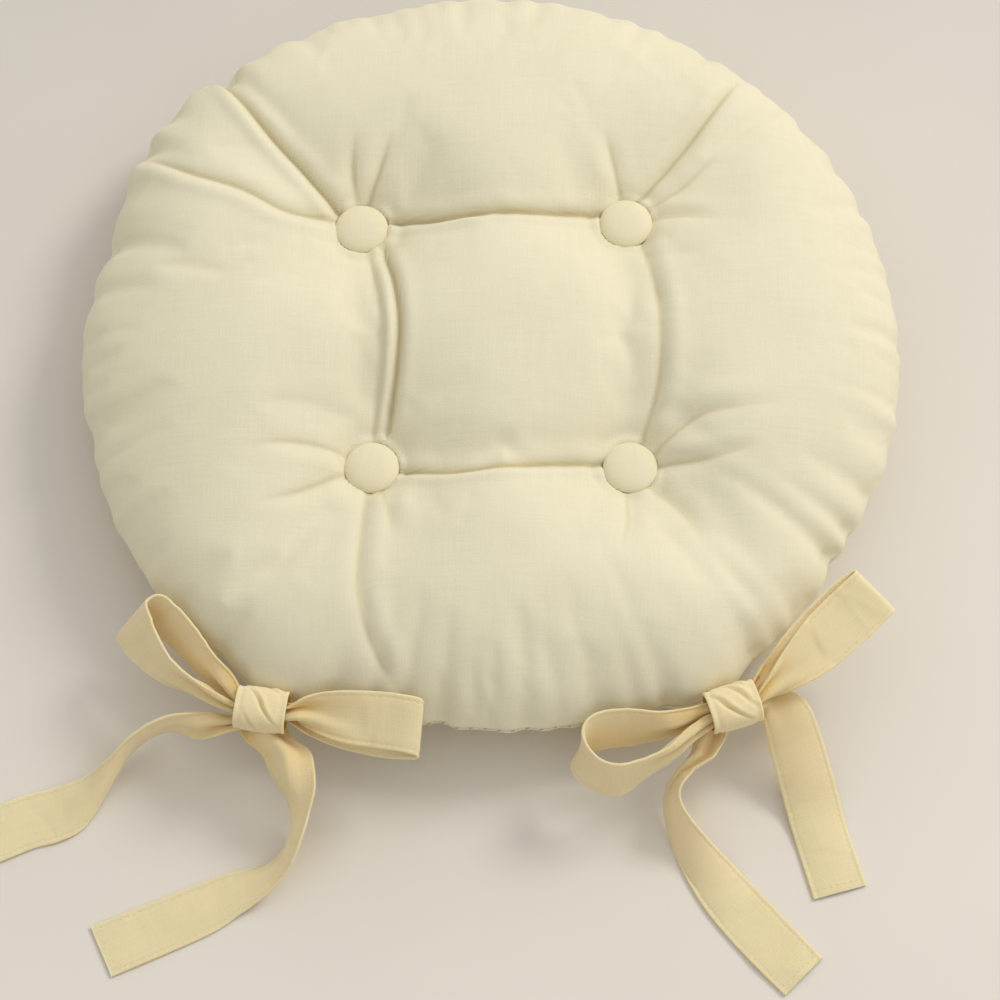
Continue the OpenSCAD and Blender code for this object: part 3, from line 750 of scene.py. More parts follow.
bottom_cover = sew_down("bottom_cover_cloth", cover_net(88, belly, bottom_shape, -1),
                        held_at_tuft=0.0105, cap=0.005, slack=0.02)
fine = points_of(bottom_cover)
resting = (np.hypot(fine[:, 0], fine[:, 1]) < pad_r - 0.012)
fine[resting, 2] = np.maximum(fine[resting, 2], bottom_low.z)
set_points(bottom_cover, fine)
apply_modifier(bottom_cover, "SOLIDIFY", thickness=cloth_t, offset=-1.0)
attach(bottom_cover, "pad")
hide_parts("bottom_cover")

# --- Filling ----------------------------------------------------------------------------
# A loose wad of white polyester fibre that fills the cover and is pressed thin at each
# tuft. None of it shows.
FILLING_GAP = 0.0048
FILLING_NET = 56
FILLING_MIN = 0.004   # its least thickness
disc_points, disc_quads, disc_rim = round_net(FILLING_NET)
top_points, _, _, top_share = cover_net(FILLING_NET, dome, top_shape, 1)
under_points, _, _, _ = cover_net(FILLING_NET, belly, bottom_shape, -1)
wad_top, _ = crease(top_points[:len(disc_points)])
wad_under = under_points[:len(disc_points)].copy()
for layer, side in ((wad_top, 1), (wad_under, -1)):
    layer[:, :2] *= (1 - 0.07 * ease(top_share[:len(layer)], 0.75, 1.0))[:, None]
    layer[:, 2] = seam_z + (layer[:, 2] - seam_z) * 0.97 - side * FILLING_GAP
wad_top[:, 2] = np.maximum(wad_top[:, 2], wad_under[:, 2] + FILLING_MIN)
wad_faces = list(disc_quads) + [tuple(len(wad_top) + i for i in reversed(q)) for q in disc_quads]
wad_faces += band(disc_rim, [len(wad_top) + i for i in disc_rim])
fibre, fibre_shader = new_material("polyester_fibre", (0.88, 0.88, 0.86), 0.95)
fibre_shader.inputs["Sheen Weight"].default_value = 0.4
strands = mottled(fibre, (0.74, 0.74, 0.72), (0.93, 0.93, 0.92), 240.0, 6.0, rough=0.75)
join(fibre, strands["Color"], fibre_shader.inputs["Base Color"])
relief(fibre, fibre_shader, strands["Mask"], 0.8, 0.002)
wad = mesh_piece("filling", np.concatenate([wad_top, wad_under]), wad_faces, fibre)
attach(wad, "pad")
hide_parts("fibre_filling")

# --- Seam thread ------------------------------------------------------------------------
# Cream polyester sewing thread. A lockstitch runs round just inside the edge, and short
# slanting hand stitches close the last of the seam between the ties.
def twist_group():
    """Twisted yarn: slanting bands in two tones. Puts out a height and a colour."""
    group, given, result = new_group(
        "yarn_twist", {"Vector": "Vector", "Scale": "Float", "Distortion": "Float",
                       "Dark": "Color", "Light": "Color"}, {"Height": "Float", "Color": "Color"})
    plies = add_node(group, "ShaderNodeTexWave", bands_direction="DIAGONAL",
                     Vector=given["Vector"], Scale=given["Scale"], Distortion=given["Distortion"])
    join(group, plies.outputs["Fac"], result["Height"])
    join(group, mix_tones(group, plies.outputs["Fac"], given["Dark"], given["Light"]),
         result["Color"])
    return group


yarn_twist = twist_group()


def twisted_yarn(name, colour, dark, light, roughness, sheen, twists, uneven):
    """Thread or twine between two tones. Gives its material, its shader and the height of
    its twist."""
    material, shader = new_material(name, colour, roughness)
    shader.inputs["Sheen Weight"].default_value = sheen
    place = add_node(material, "ShaderNodeTexCoord")
    twist = add_node(material, "ShaderNodeGroup", node_tree=yarn_twist,
                     Vector=place.outputs["Object"], Scale=twists, Distortion=uneven,
                     Dark=(*dark, 1.0), Light=(*light, 1.0))
    join(material, twist.outputs["Color"], shader.inputs["Base Color"])
    return material, shader, twist.outputs["Height"]


thread, thread_shader, thread_twist = twisted_yarn(
    "sewing_thread", (0.82, 0.76, 0.58), (0.70, 0.63, 0.45), (0.86, 0.80, 0.63),
    roughness=0.6, sheen=0.3, twists=900.0, uneven=1.0)
relief(thread, thread_shader, thread_twist, 0.5, 0.0001)


def tube_mesh(path, radius, sides, closed):
    """Points and faces of a round tube along a path."""
    path = np.asarray(path, float)
    count = len(path)
    ahead = np.roll(path, -1, 0) - np.roll(path, 1, 0)
    if not closed:
        ahead[0], ahead[-1] = path[1] - path[0], path[-1] - path[-2]
    ahead /= np.linalg.norm(ahead, axis=1, keepdims=True)
    up = np.tile([0.0, 0.0, 1.0], (count, 1))
    up[np.abs(ahead[:, 2]) > 0.95] = (1.0, 0.0, 0.0)
    aside = np.cross(ahead, up)
    aside /= np.linalg.norm(aside, axis=1, keepdims=True)
    above = np.cross(aside, ahead)
    turns = np.arange(sides) * 2 * math.pi / sides
    radius = np.broadcast_to(radius, count)
    points = (path[:, None] + radius[:, None, None]
              * (np.cos(turns)[None, :, None] * aside[:, None]
                 + np.sin(turns)[None, :, None] * above[:, None]))
    rings = [range(sides * i, sides * (i + 1)) for i in range(count)]
    faces = [face for i in range(count if closed else count - 1)
             for face in band(rings[i], rings[(i + 1) % count])]
    if not closed:
        faces += [tuple(rings[0]), tuple(reversed(rings[-1]))]
    return points.reshape(-1, 3), faces


def stitches_mesh(paths, radius, sides=5):
    """Many short threads in one mesh, thin at both ends."""
    points, faces = [], []
    first = 0
    for path in paths:
        taper = radius * np.where(np.arange(len(path)) % (len(path) - 1) == 0, 0.55, 1.0)
        some, their = tube_mesh(path, taper, sides, False)
        points.append(some)
        faces += [tuple(first + i for i in face) for face in their]
        first += len(some)
    return np.concatenate(points), faces


THREAD_R = 0.0004
SEAM_IN = 0.004
STITCH_PITCH, STITCH_RISE = 0.0025, 0.0009
stitch_count = int(2 * math.pi * pad_r / STITCH_PITCH)
seam_turn = np.arange(stitch_count * 4) * 360.0 / (stitch_count * 4)
seam_turn = (seam_turn + 180.0) % 360.0 - 180.0
seam_r = edge_reach(seam_turn) - SEAM_IN
seam_path = np.column_stack([
    seam_r * np.cos(np.radians(seam_turn)), seam_r * np.sin(np.radians(seam_turn)),
    seam_height(seam_turn) + STITCH_RISE * np.tile([0.0, 1.0, 0.0, -1.0], stitch_count)])
lockstitch = mesh_piece("seam_lockstitch", *tube_mesh(seam_path, 0.75 * THREAD_R, 5, True), thread)
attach(lockstitch, "pad")
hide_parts("seam_thread")

CLOSING_FROM, CLOSING_TO, CLOSING_STITCHES = -104.0, -71.0, 18
closing_paths = []
for turn in np.linspace(CLOSING_FROM, CLOSING_TO, CLOSING_STITCHES):
    across = np.linspace(-1.0, 1.0, 7)
    angles = turn + 0.45 * across
    out = edge_reach(angles) + 0.0002 - 0.0011 * np.abs(across) ** 3
    rise = seam_height(angles) + 0.0017 * across
    closing_paths.append(np.column_stack(
        [out * np.cos(np.radians(angles)), out * np.sin(np.radians(angles)), rise]))
closing = mesh_piece("hand_closing_stitches", *stitches_mesh(closing_paths, THREAD_R, 6), thread)
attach(closing, "pad")
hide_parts("closing_stitches")

# --- Covered buttons --------------------------------------------------------------------
# Each button is a domed tinned-steel shell with a disc of the cover cotton stretched over
# it and tucked under its rim, where the cloth gathers.
RIM_H = 0.0015
TUCK_IN_R, TUCK_OUT_R, BUTTON_CLOTH_T = 0.01092, 0.0116, 0.0007
AROUND = 112
button_cloth, _ = cotton("button_cotton", (0.775, 0.703, 0.48), (0.86, 0.788, 0.566), bump=0.3)


def button_dome(radius, height):
    """Rows up a button's dome, from its rim to just short of its middle."""
    return [(radius * math.cos(a) ** 0.86, RIM_H + (height - RIM_H) * math.sin(a) ** 1.08, 0.0)
            for a in np.radians(np.linspace(0.0, 90.0, 15))[:-1]]


for number, tuft in enumerate(TUFTS):
    tx, ty = tuft_at[number]
    inner_r = button_r - BUTTON_CLOTH_T
    # a row is a radius, a height and how much the tucked-in gathers show there
    rows = [(TUCK_IN_R, RIM_H, 0.2), (TUCK_IN_R, 0.0003, 0.8), (TUCK_OUT_R - 0.0003, 0.0, 1.0),
            (button_r - 0.0010, 0.00003, 1.0), (button_r - 0.0003, 0.0004, 0.6),
            (button_r, 0.0010, 0.25)]
    rows += button_dome(button_r, button_h)
    top_row = len(rows) - 1
    rows += button_dome(inner_r, button_h - BUTTON_CLOTH_T)[::-1]
    rows += [(inner_r, BUTTON_CLOTH_T, 0.0), (TUCK_OUT_R + 0.00005, BUTTON_CLOTH_T, 0.0),
             (TUCK_OUT_R + 0.00002, RIM_H, 0.0)]
    rim_turn = np.arange(AROUND) * 2 * math.pi / AROUND
    tucks = np.sin(26 * rim_turn + number) + 0.5 * np.sin(41 * rim_turn + 2 * number)
    points, cloth, faces = [], [], []
    for row, (radius, height, gather) in enumerate(rows):
        wave = 0.00012 * gather * tucks
        points += [(tx + (radius + w) * math.cos(a), ty + (radius + w) * math.sin(a),
                    button_z + height + abs(w)) for a, w in zip(rim_turn, wave)]
        reach = radius if row >= 6 else 2 * button_r - radius + 0.003
        cloth += [(tx + reach * math.cos(a + number), ty + reach * math.sin(a + number))
                  for a in rim_turn]
    for row in range(len(rows)):
        if row == top_row:
            continue
        below, above = row * AROUND, ((row + 1) % len(rows)) * AROUND
        faces += [(below + k, below + (k + 1) % AROUND, above + (k + 1) % AROUND, above + k)
                  for k in range(AROUND)]
    for row, height, turned in ((top_row, button_h, False),
                                (top_row + 1, button_h - BUTTON_CLOTH_T, True)):
        points.append((tx, ty, button_z + height))
        cloth.append((tx, ty))
        middle = len(points) - 1
        fan = [(row * AROUND + k, row * AROUND + (k + 1) % AROUND, middle) for k in range(AROUND)]
        faces += [tuple(reversed(f)) for f in fan] if turned else fan
    button = mesh_piece(f"{tuft}_button_cloth", points, faces, button_cloth)
    add_cloth_map(button, cloth)
    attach(button, "pad")
    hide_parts(f"{tuft}_button_cover")

# --- Button shells, back plates and shanks ----------------------------------------------
# Pressed tinned steel with a soft grey shine, and a bent wire shank. They are inside the
# buttons and under them.
tin, tin_shader = new_material("tinned_steel", (0.70, 0.71, 0.72), 0.34)
tin_shader.inputs["Metallic"].default_value = 1.0
tin_marks = mottled(tin, (0.60, 0.60, 0.60), (0.78, 0.78, 0.79), 420.0, 5.0)
join(tin, tin_marks["Color"], tin_shader.inputs["Base Color"])


def uneven_shine(material, shader, mask, low, high):
    """Lets the roughness follow a mask, between two values."""
    spread = add_node(material, "ShaderNodeMapRange", Value=mask,
                      **{"To Min": low, "To Max": high})
    join(material, spread.outputs["Result"], shader.inputs["Roughness"])


uneven_shine(tin, tin_shader, tin_marks["Mask"], 0.26, 0.48)


def finish_node(name, material):
    """Gives a node that keeps its own shape its material."""
    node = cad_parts[name]
    if not node.material_slots:
        node.data.materials.append(material)
    for slot in node.material_slots:
        slot.link = "OBJECT"
        slot.material = material


for tuft in TUFTS:
    for part in ("shell", "back", "shank"):
        finish_node(f"{tuft}_button_{part}", tin)

# --- Tufting twine ----------------------------------------------------------------------
# Waxed twisted cotton twine. It goes through the button's shank, down through the pad and
# through both holes of the small button beneath, where it is knotted.
twine, twine_shader, twine_twist = twisted_yarn(
    "tufting_twine", (0.82, 0.80, 0.72), (0.66, 0.63, 0.54), (0.87, 0.85, 0.78),
    roughness=0.55, sheen=0.2, twists=520.0, uneven=0.6)
relief(twine, twine_shader, twine_twist, 0.8, 0.0003)
for tuft in TUFTS:
    finish_node(f"{tuft}_twine", twine)

# --- Small buttons beneath --------------------------------------------------------------
# Flat two-hole polyester buttons, milky with a horn-like marbling and a polished face.
# They keep the twine from pulling through the cloth.
horn, horn_shader = new_material("horn_plastic", (0.80, 0.74, 0.60), 0.25)
horn_shader.inputs["Coat Weight"].default_value = 0.3
marbling = mottled(horn, (0.62, 0.54, 0.38), (0.86, 0.81, 0.69), 90.0, 4.0, low=0.35, high=0.68,
                   twisted=1.6)
join(horn, marbling["Color"], horn_shader.inputs["Base Color"])
uneven_shine(horn, horn_shader, marbling["Mask"], 0.18, 0.36)
for tuft in TUFTS:
    finish_node(f"{tuft}_under_button", horn)

# --- Ties -------------------------------------------------------------------------------
# Flat ties of butter cotton, 26 mm wide, folded lengthwise and edge-stitched, each tied in
# a bow. They gather in folds at the knot, and their ends are hemmed and lie on the table.
TIE_W, TIE_T = 0.026, 0.0014
FLOOR_Z = 0.0002
# its painted shade, in folds and near the knots, takes a deep golden tone
butter_cotton, butter_shader = cotton(
    "butter_cotton", (0.795, 0.655, 0.380), (0.875, 0.742, 0.465),
    painted_shade_tone=(0.70, 0.45, 0.09), threads=1500.0, sheen=0.3, bump=0.3)
butter_shader.inputs["Subsurface Weight"].default_value = 0.35
butter_shader.inputs["Subsurface Radius"].default_value = (0.0030, 0.0016, 0.0004)
butter_shader.inputs["Subsurface Scale"].default_value = 1.0
tie_thread, _, _ = twisted_yarn(
    "tie_thread", (0.90, 0.80, 0.56), (0.78, 0.66, 0.42), (0.92, 0.82, 0.60),
    roughness=0.55, sheen=0.3, twists=900.0, uneven=1.0)

# A route is a row of stations in millimetres, each the pair of opposite edge points there.
ROUTES = {
    "left_outer_loop": (
        ((-111, -181, 45), (-112, -185, 38)), ((-117, -179, 46), (-119, -182, 38)),
        ((-125, -166, 47), (-130, -172, 32)), ((-132, -156, 48), (-140, -161, 28)),
        ((-147, -137, 50), (-157, -144, 27)), ((-153, -132, 50), (-166, -139, 28)),
        ((-158, -133, 50), (-173, -141, 28)), ((-160, -138, 50), (-175, -147, 28)),
        ((-152, -155, 47), (-164, -160, 29)), ((-143, -166, 46), (-152, -168, 30)),
        ((-131, -175, 45), (-138, -175, 33)), ((-119, -182, 44), (-121, -184, 39)),
        ((-111, -185, 43), (-112, -189, 38)),),
    "right_outer_loop": (
        ((118, -184, 45), (119, -187, 40)), ((123, -179, 46), (126, -183, 40)),
        ((136, -161, 51), (144, -175, 42)), ((147, -146, 53), (160, -166, 43)),
        ((160, -133, 55), (177, -152, 45)), ((168, -126, 57), (187, -142, 47)),
        ((171, -123, 57), (190, -139, 47)), ((169, -122, 54), (187, -138, 44)),
        ((160, -128, 52), (176, -147, 41)), ((148, -140, 50), (160, -160, 39)),
        ((135, -155, 48), (145, -171, 38)), ((121, -177, 43), (125, -181, 38)),
        ((117, -182, 42), (118, -185, 38)),),
    "left_inner_loop": (
        ((-100, -186, 46), (-101, -190, 41)), ((-93, -186, 48), (-93, -191, 42)),
        ((-83, -182, 51), (-83, -196, 42)), ((-69, -181, 54), (-69, -202, 42)),
        ((-50, -182, 55), (-50, -206, 44)), ((-38, -184, 56), (-40, -208, 45)),
        ((-32, -185, 55), (-34, -209, 43)), ((-31, -186, 53), (-33, -210, 41)),
        ((-36, -186, 52), (-38, -209, 38)), ((-50, -186, 50), (-50, -208, 37)),
        ((-69, -184, 48), (-69, -203, 35)), ((-83, -185, 45), (-83, -197, 36)),
        ((-93, -185, 44), (-93, -190, 38)), ((-100, -184, 43), (-101, -188, 38)),),
    "right_inner_loop": (
        ((107, -184, 46), (108, -187, 40)), ((100, -187, 46), (100, -190, 39)),
        ((84, -190, 47), (86, -196, 34)), ((69, -189, 48), (71, -198, 27)),
        ((55, -189, 48), (54, -200, 25)), ((47, -192, 48), (43, -203, 25)),
        ((44, -198, 47), (39, -208, 24)), ((46, -205, 46), (43, -215, 23)),
        ((52, -211, 45), (51, -219, 22)), ((60, -213, 45), (61, -220, 22)),
        ((69, -211, 45), (71, -214, 26)), ((80, -206, 46), (82, -208, 31)),
        ((90, -198, 46), (92, -200, 37)), ((100, -191, 45), (101, -194, 39)),
        ((107, -188, 44), (108, -191, 40)),),
    "left_outer_tail": (
        ((-117, -188, 31), (-95, -188, 32)), ((-114, -197, 33), (-91, -197, 34)),
        ((-106, -204, 32), (-83, -204, 35)), ((-102, -212, 25), (-81, -214, 36)),
        ((-96, -220, 15), (-81, -223, 34)), ((-93, -229, 6), (-84, -232, 29)),
        ((-94, -237, 2), (-87, -241, 26)), ((-99, -243, 1), (-91, -251, 20)),
        ((-108, -248, 1), (-99, -261, 11)), ((-124, -253, 1), (-115, -272, 3)),
        ((-142, -260, 1), (-132, -283, 1)), ((-185, -278, 1), (-174, -302, 1)),),
    "right_outer_tail": (
        ((97, -190, 32), (113, -187, 34)), ((95, -195, 31), (110, -197, 33)),
        ((94, -199, 29), (107, -203, 33)), ((93, -203, 30), (105, -206, 32)),
        ((88, -207, 25), (99, -210, 32)), ((84, -211, 16), (93, -213, 32)),
        ((82, -217, 6), (88, -219, 30)), ((82, -226, 2), (88, -225, 26)),
        ((84, -237, 1), (93, -232, 20)),
        ((89, -250, 1), (104, -241, 11)), ((101, -271, 1), (121, -256, 2)),
        ((118, -292, 1), (138, -275, 1)), ((136, -311, 1), (154, -293, 1)),),
    "left_inner_tail": (
        ((-112, -188, 40), (-112, -192, 36)),
        ((-121, -188, 37), (-121, -193, 33)), ((-128, -187, 37), (-127, -194, 30)),
        ((-137, -187, 36), (-137, -193, 22)), ((-148, -187, 35), (-151, -187, 14)),
        ((-158, -190, 32), (-163, -190, 7)), ((-169, -196, 26), (-173, -200, 2)),
        ((-180, -203, 17), (-183, -219, 2)), ((-190, -207, 9), (-191, -231, 1)),
        ((-206, -211, 2), (-202, -237, 1)), ((-222, -215, 1), (-213, -240, 1)),
        ((-245, -225, 1), (-234, -249, 1)), ((-285, -241, 1), (-274, -265, 1)),),
    "right_inner_tail": (
        ((119, -188, 38), (121, -180, 38)),
        ((127, -184, 33), (133, -171, 34)), ((128, -187, 31), (140, -173, 34)),
        ((129, -191, 27), (149, -179, 31)), ((132, -200, 19), (155, -190, 23)),
        ((138, -218, 7), (163, -212, 8)), ((143, -236, 2), (168, -230, 2)),
        ((151, -265, 1), (176, -258, 1)),),
}


# places across a tie from edge to edge, in shares of its half width, and how thick the
# cloth is there: thin at the folded edge and pressed down along the edge stitching
half_across = np.array([0.18, 0.36, 0.54, 0.72, 0.79, 0.825, 0.86, 0.90, 0.955, 0.985, 1.0])
half_thick = np.array([1.0, 1.0, 1.0, 1.0, 0.86, 0.70, 0.86, 1.0, 1.0, 0.80, 0.30])
ACROSS = np.concatenate([-half_across[::-1], [0.0], half_across])
THICK = np.concatenate([half_thick[::-1], [1.0], half_thick])
EDGE_STITCH = 0.825
TIE_STEP = 0.0014
# Folds that run out of a knot along a tie: the place across, how it drifts per metre, the
# depth, the width across, and the distance from the knot over which it fades.
FOLDS = {
    "left_outer_tail": ((0.05, -4.0, -0.0052, 0.34, 0.090), (-0.60, 2.0, 0.0014, 0.20, 0.05)),
    "left_inner_loop": ((-0.10, -12.0, 0.0034, 0.20, 0.046), (0.50, 4.0, 0.0016, 0.20, 0.034)),
    "left_outer_loop": ((0.10, -8.0, 0.0024, 0.22, 0.040), (-0.5, -2.0, 0.0014, 0.20, 0.030)),
    "right_inner_loop": ((0.15, 8.0, 0.0026, 0.22, 0.042), (-0.45, 3.0, 0.0016, 0.20, 0.034)),
    "right_outer_loop": ((0.05, 6.0, 0.0024, 0.20, 0.050), (0.6, -4.0, 0.0014, 0.20, 0.036)),
    "left_inner_tail": ((0.20, -6.0, 0.0020, 0.28, 0.060),),
    "right_outer_tail": ((-0.15, 5.0, 0.0022, 0.25, 0.060),),
    "right_inner_tail": ((0.10, 3.0, 0.0012, 0.30, 0.040),)}
HEM_IN = 0.0035             # how far in from its end a tie's hem is sewn
BUCKLES, BUCKLE_H = 5, 0.00013          # soft buckles along a tie
OLD_CREASES, OLD_CREASE_H = 3, 0.00028  # slanting creases where it was folded before
PLEAT_H, CUP_H = 0.0024, 0.0020         # the most that a gathered tie pleats, and cups
# how far from the knot the painted glow and shade of the tie's folds reach
PAINTED_GLOW_REACH = 0.026                      # how far from the knot its folds glow


def tie_surface(route, folds, is_loop, seed):
    """The middle surface of a tie: points by row along it and place across it, the normals
    there, the distance of each row from the knot, and the painted shade of its upper and under
    face: a warm glow near the knot and deep in its folds, for the shade and the light that the
    cloth throws on itself there."""
    stations = np.array(route, float) / 1000.0
    one, other = smooth_line(stations[:, 0], 10), smooth_line(stations[:, 1], 10)
    middle = (one + other) / 2
    run = np.concatenate([[0.0], np.cumsum(np.linalg.norm(np.diff(middle, axis=0), axis=1))])
    along = np.linspace(0.0, run[-1], max(int(run[-1] / TIE_STEP), 8))
    one = np.column_stack([np.interp(along, run, one[:, k]) for k in range(3)])
    other = np.column_stack([np.interp(along, run, other[:, k]) for k in range(3)])
    middle, half = (one + other) / 2, (one - other) / 2
    width = 2 * np.linalg.norm(half, axis=1)
    ahead = np.gradient(middle, axis=0)
    up = np.cross(half, ahead)
    up /= np.linalg.norm(up, axis=1, keepdims=True)
    spare = np.maximum(TIE_W / width, 1.0) - 1
    pleat = (np.minimum(2 * width / (3 * math.pi) * np.sqrt(spare), PLEAT_H)
             * (1 - ease(width, 0.011, 0.021)))
    cup = np.minimum(2 * width / math.pi * np.sqrt(spare), CUP_H) * ease(width, 0.009, 0.015)
    rng = np.random.default_rng(seed)
    swing = rng.uniform(-0.5, 0.5)
    pleats = np.sin(1.5 * math.pi * ACROSS[None] + swing + 9.0 * along[:, None])
    lift = pleat[:, None] * pleats + cup[:, None] * (np.cos(0.5 * math.pi * ACROSS[None]) - 0.5)
    for _ in range(BUCKLES):
        wave, start, slant = rng.uniform(14, 34), rng.uniform(0, 6.3), rng.uniform(-1.3, 1.3)
        lift += BUCKLE_H * np.sin(2 * math.pi * wave * along[:, None] + start
                                  + slant * ACROSS[None])
    for _ in range(OLD_CREASES):
        place, slant = rng.uniform(0.15, 0.9) * run[-1], rng.uniform(-0.008, 0.008)
        lift -= OLD_CREASE_H * bell(along[:, None] - place - slant * ACROSS[None], 0.0, 0.0016)
    from_knot = np.minimum(along, run[-1] - along) if is_loop else along
    # painted glow and shade near the knot, for the light that the gathered loops throw on each
    # other there; stronger in the pleats' valleys
    painted_glow_near_knot = (0.9 if is_loop else 0.6) * np.exp(-(from_knot[:, None] / PAINTED_GLOW_REACH) ** 2)
    shade_upper = painted_glow_near_knot * (0.65 - 0.35 * pleats)
    shade_under = painted_glow_near_knot * (0.65 + 0.35 * pleats)
    for place, drift, depth, broad, reach in folds:
        off = ACROSS[None] - place - drift * from_knot[:, None]
        fade = 1 - ease(from_knot[:, None], 0.25 * reach, reach)
        lift -= depth * bell(off, 0.0, broad) * fade
        shade = min(1.0, abs(depth) / 0.0030) * 0.7 * bell(off, 0.0, 0.55 * broad) * fade
        if depth > 0:
            shade_upper = np.maximum(shade_upper, shade)
        else:
            shade_under = np.maximum(shade_under, shade)
    points = (middle[:, None] + ACROSS[None, :, None] * half[:, None]
              + lift[:, :, None] * up[:, None])
    points[:, :, 2] = np.maximum(points[:, :, 2], FLOOR_Z + TIE_T / 2)
    normals = np.cross(np.gradient(points, axis=1), np.gradient(points, axis=0))
    normals /= np.maximum(np.linalg.norm(normals, axis=2, keepdims=True), 1e-9)
    return points, normals, along, (shade_upper, shade_under)


TIE_STITCH = 0.0032                     # from one edge stitch to the next
STITCH_HALF = 0.0011                    # half the length of a stitch
TIE_THREAD_R = 0.00018
# a stitch on a tie: places along it in half lengths, and heights above the cloth
STITCH_SHAPE = ((-1, -0.00012), (0, 0.00009), (1, -0.00012))


def tie_pieces(name, route, folds, seed, hemmed):
    """A tie and its stitching as two mesh objects, and the tie's length."""
    points, normals, along, shades = tie_surface(route, folds, not hemmed, seed)
    rows, places = points.shape[:2]
    thick = np.tile(THICK * TIE_T / 2, (rows, 1))
    if hemmed:
        from_end = along[-1] - along
        thick *= (1 - 0.28 * bell(from_end, HEM_IN, 0.0007)
                  - 0.55 * bell(from_end, 0.0, 0.0006))[:, None]
    upper = points + normals * thick[:, :, None]
    under = points - normals * thick[:, :, None]
    for layer in (upper, under):
        layer[:, :, 2] = np.maximum(layer[:, :, 2], FLOOR_Z)
    mesh_points = np.concatenate([upper.reshape(-1, 3), under.reshape(-1, 3)])
    faces, lower = [], rows * places
    for i in range(rows - 1):
        for j in range(places - 1):
            a = i * places + j
            faces.append((a, a + 1, a + places + 1, a + places))
            faces.append((lower + a, lower + a + places, lower + a + places + 1, lower + a + 1))
        for j, turned in ((0, False), (places - 1, True)):
            a = i * places + j
            side = (a, a + places, lower + a + places, lower + a)
            faces.append(tuple(reversed(side)) if turned else side)
    for i, turned in ((0, True), (rows - 1, False)):
        for j in range(places - 1):
            a = i * places + j
            end = (a, a + 1, lower + a + 1, lower + a)
            faces.append(tuple(reversed(end)) if not turned else end)
    tie = mesh_piece(name, mesh_points, faces, butter_cotton)
    across = ACROSS * TIE_W / 2
    flat = np.stack(np.meshgrid(along + 0.7 * seed, across, indexing="ij"), axis=2).reshape(-1, 2)
    add_cloth_map(tie, np.concatenate([flat, flat + (0.0, 0.1)]))
    write_painted_shade(tie, np.stack(shades))
    # the sewing: a row of stitches along both edges, on both faces, and one across the hem
    paths = []
    grid_u = np.arange(rows)

    def surface_at(s, u, face, lift):
        i = np.interp(s, along, grid_u)
        j = np.interp(u, ACROSS, np.arange(places))
        i0, j0 = int(min(i, rows - 2)), int(min(j, places - 2))
        di, dj = i - i0, j - j0
        layer = upper if face > 0 else under
        spot = sum(wi * wj * layer[i0 + ki, j0 + kj] for ki, wi in ((0, 1 - di), (1, di))
                   for kj, wj in ((0, 1 - dj), (1, dj)))
        return spot + face * lift * normals[i0, j0]

    for face in (1, -1):
        for u in (-EDGE_STITCH, EDGE_STITCH):
            for s in np.arange(0.004, along[-1] - HEM_IN, TIE_STITCH):
                paths.append([surface_at(s + STITCH_HALF * k, u, face, lift)
                              for k, lift in STITCH_SHAPE])
        if hemmed:
            for u in np.arange(-0.74, 0.75, TIE_STITCH / (TIE_W / 2)):
                paths.append([surface_at(along[-1] - HEM_IN, u + 0.085 * k, face, lift)
                              for k, lift in STITCH_SHAPE])
    sewn, sewn_faces = stitches_mesh(paths, TIE_THREAD_R, 4)
    sewn[:, 2] = np.maximum(sewn[:, 2], FLOOR_Z - 0.0001)
    stitching = mesh_piece(f"{name}_stitching", sewn, sewn_faces, tie_thread)
    return tie, stitching, along[-1]


for seed, (node, route) in enumerate(ROUTES.items()):
    is_tail = node.endswith("tail")
    tie, stitching, length = tie_pieces(f"{node}_cloth", route, FOLDS[node], seed + 1, is_tail)
    if is_tail:
        for piece in (tie, stitching):
            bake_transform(piece)
    else:
        for piece in (tie, stitching):
            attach(piece, "pad")
    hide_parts(node)

# --- Knots ------------------------------------------------------------------------------
# One turn of the tie, pulled tight round the gathered loops. It is rounded and creased
# slantwise where the cloth was drawn through.
KNOTS = {"left": ((-0.1055, -0.1865, 0.043), -8.0), "right": ((0.113, -0.185, 0.043), 17.0)}
KNOT_W, KNOT_H, KNOT_LEN = 0.020, 0.016, 0.024
BORE_W, BORE_H = 0.0168, 0.0128
# a crease on a knot: the side that it is on in degrees, its place along, slant, depth, width
KNOT_CREASES = {
    "left": ((92, 0.0002, 0.0056, 0.0015, 0.0011), (20, 0.0030, 0.0050, 0.0008, 0.0012),
             (160, -0.0030, 0.0040, 0.0008, 0.0012), (260, 0.0, 0.0040, 0.0008, 0.0014)),
    "right": ((104, -0.0026, 0.0066, 0.0015, 0.0014), (70, 0.0030, 0.0054, 0.0012, 0.0013),
              (15, 0.0020, 0.0050, 0.0009, 0.0013), (260, 0.0, 0.0040, 0.0008, 0.0014))}


def knot_point(side, along, aside, above):
    """A point beside the middle of a knot, along its axis, across it and up."""
    middle, turn = KNOTS[side]
    c, s = math.cos(math.radians(turn)), math.sin(math.radians(turn))
    return np.stack([middle[0] + c * along - s * aside, middle[1] + s * along + c * aside,
                     middle[2] + above], axis=-1)


def squarish(turn, half_w, half_h, power=2.5):
    c, s = np.cos(turn), np.sin(turn)
    return (half_w * np.sign(c) * np.abs(c) ** (2 / power),
            half_h * np.sign(s) * np.abs(s) ** (2 / power))


KNOT_AROUND = 120
# the rounded end of a knot: places in shares of its half length, and how far in each is
END_AT, END_IN = [0.93, 0.965, 0.99, 1.0], [0.0, 0.0001, 0.0003, 0.0007]

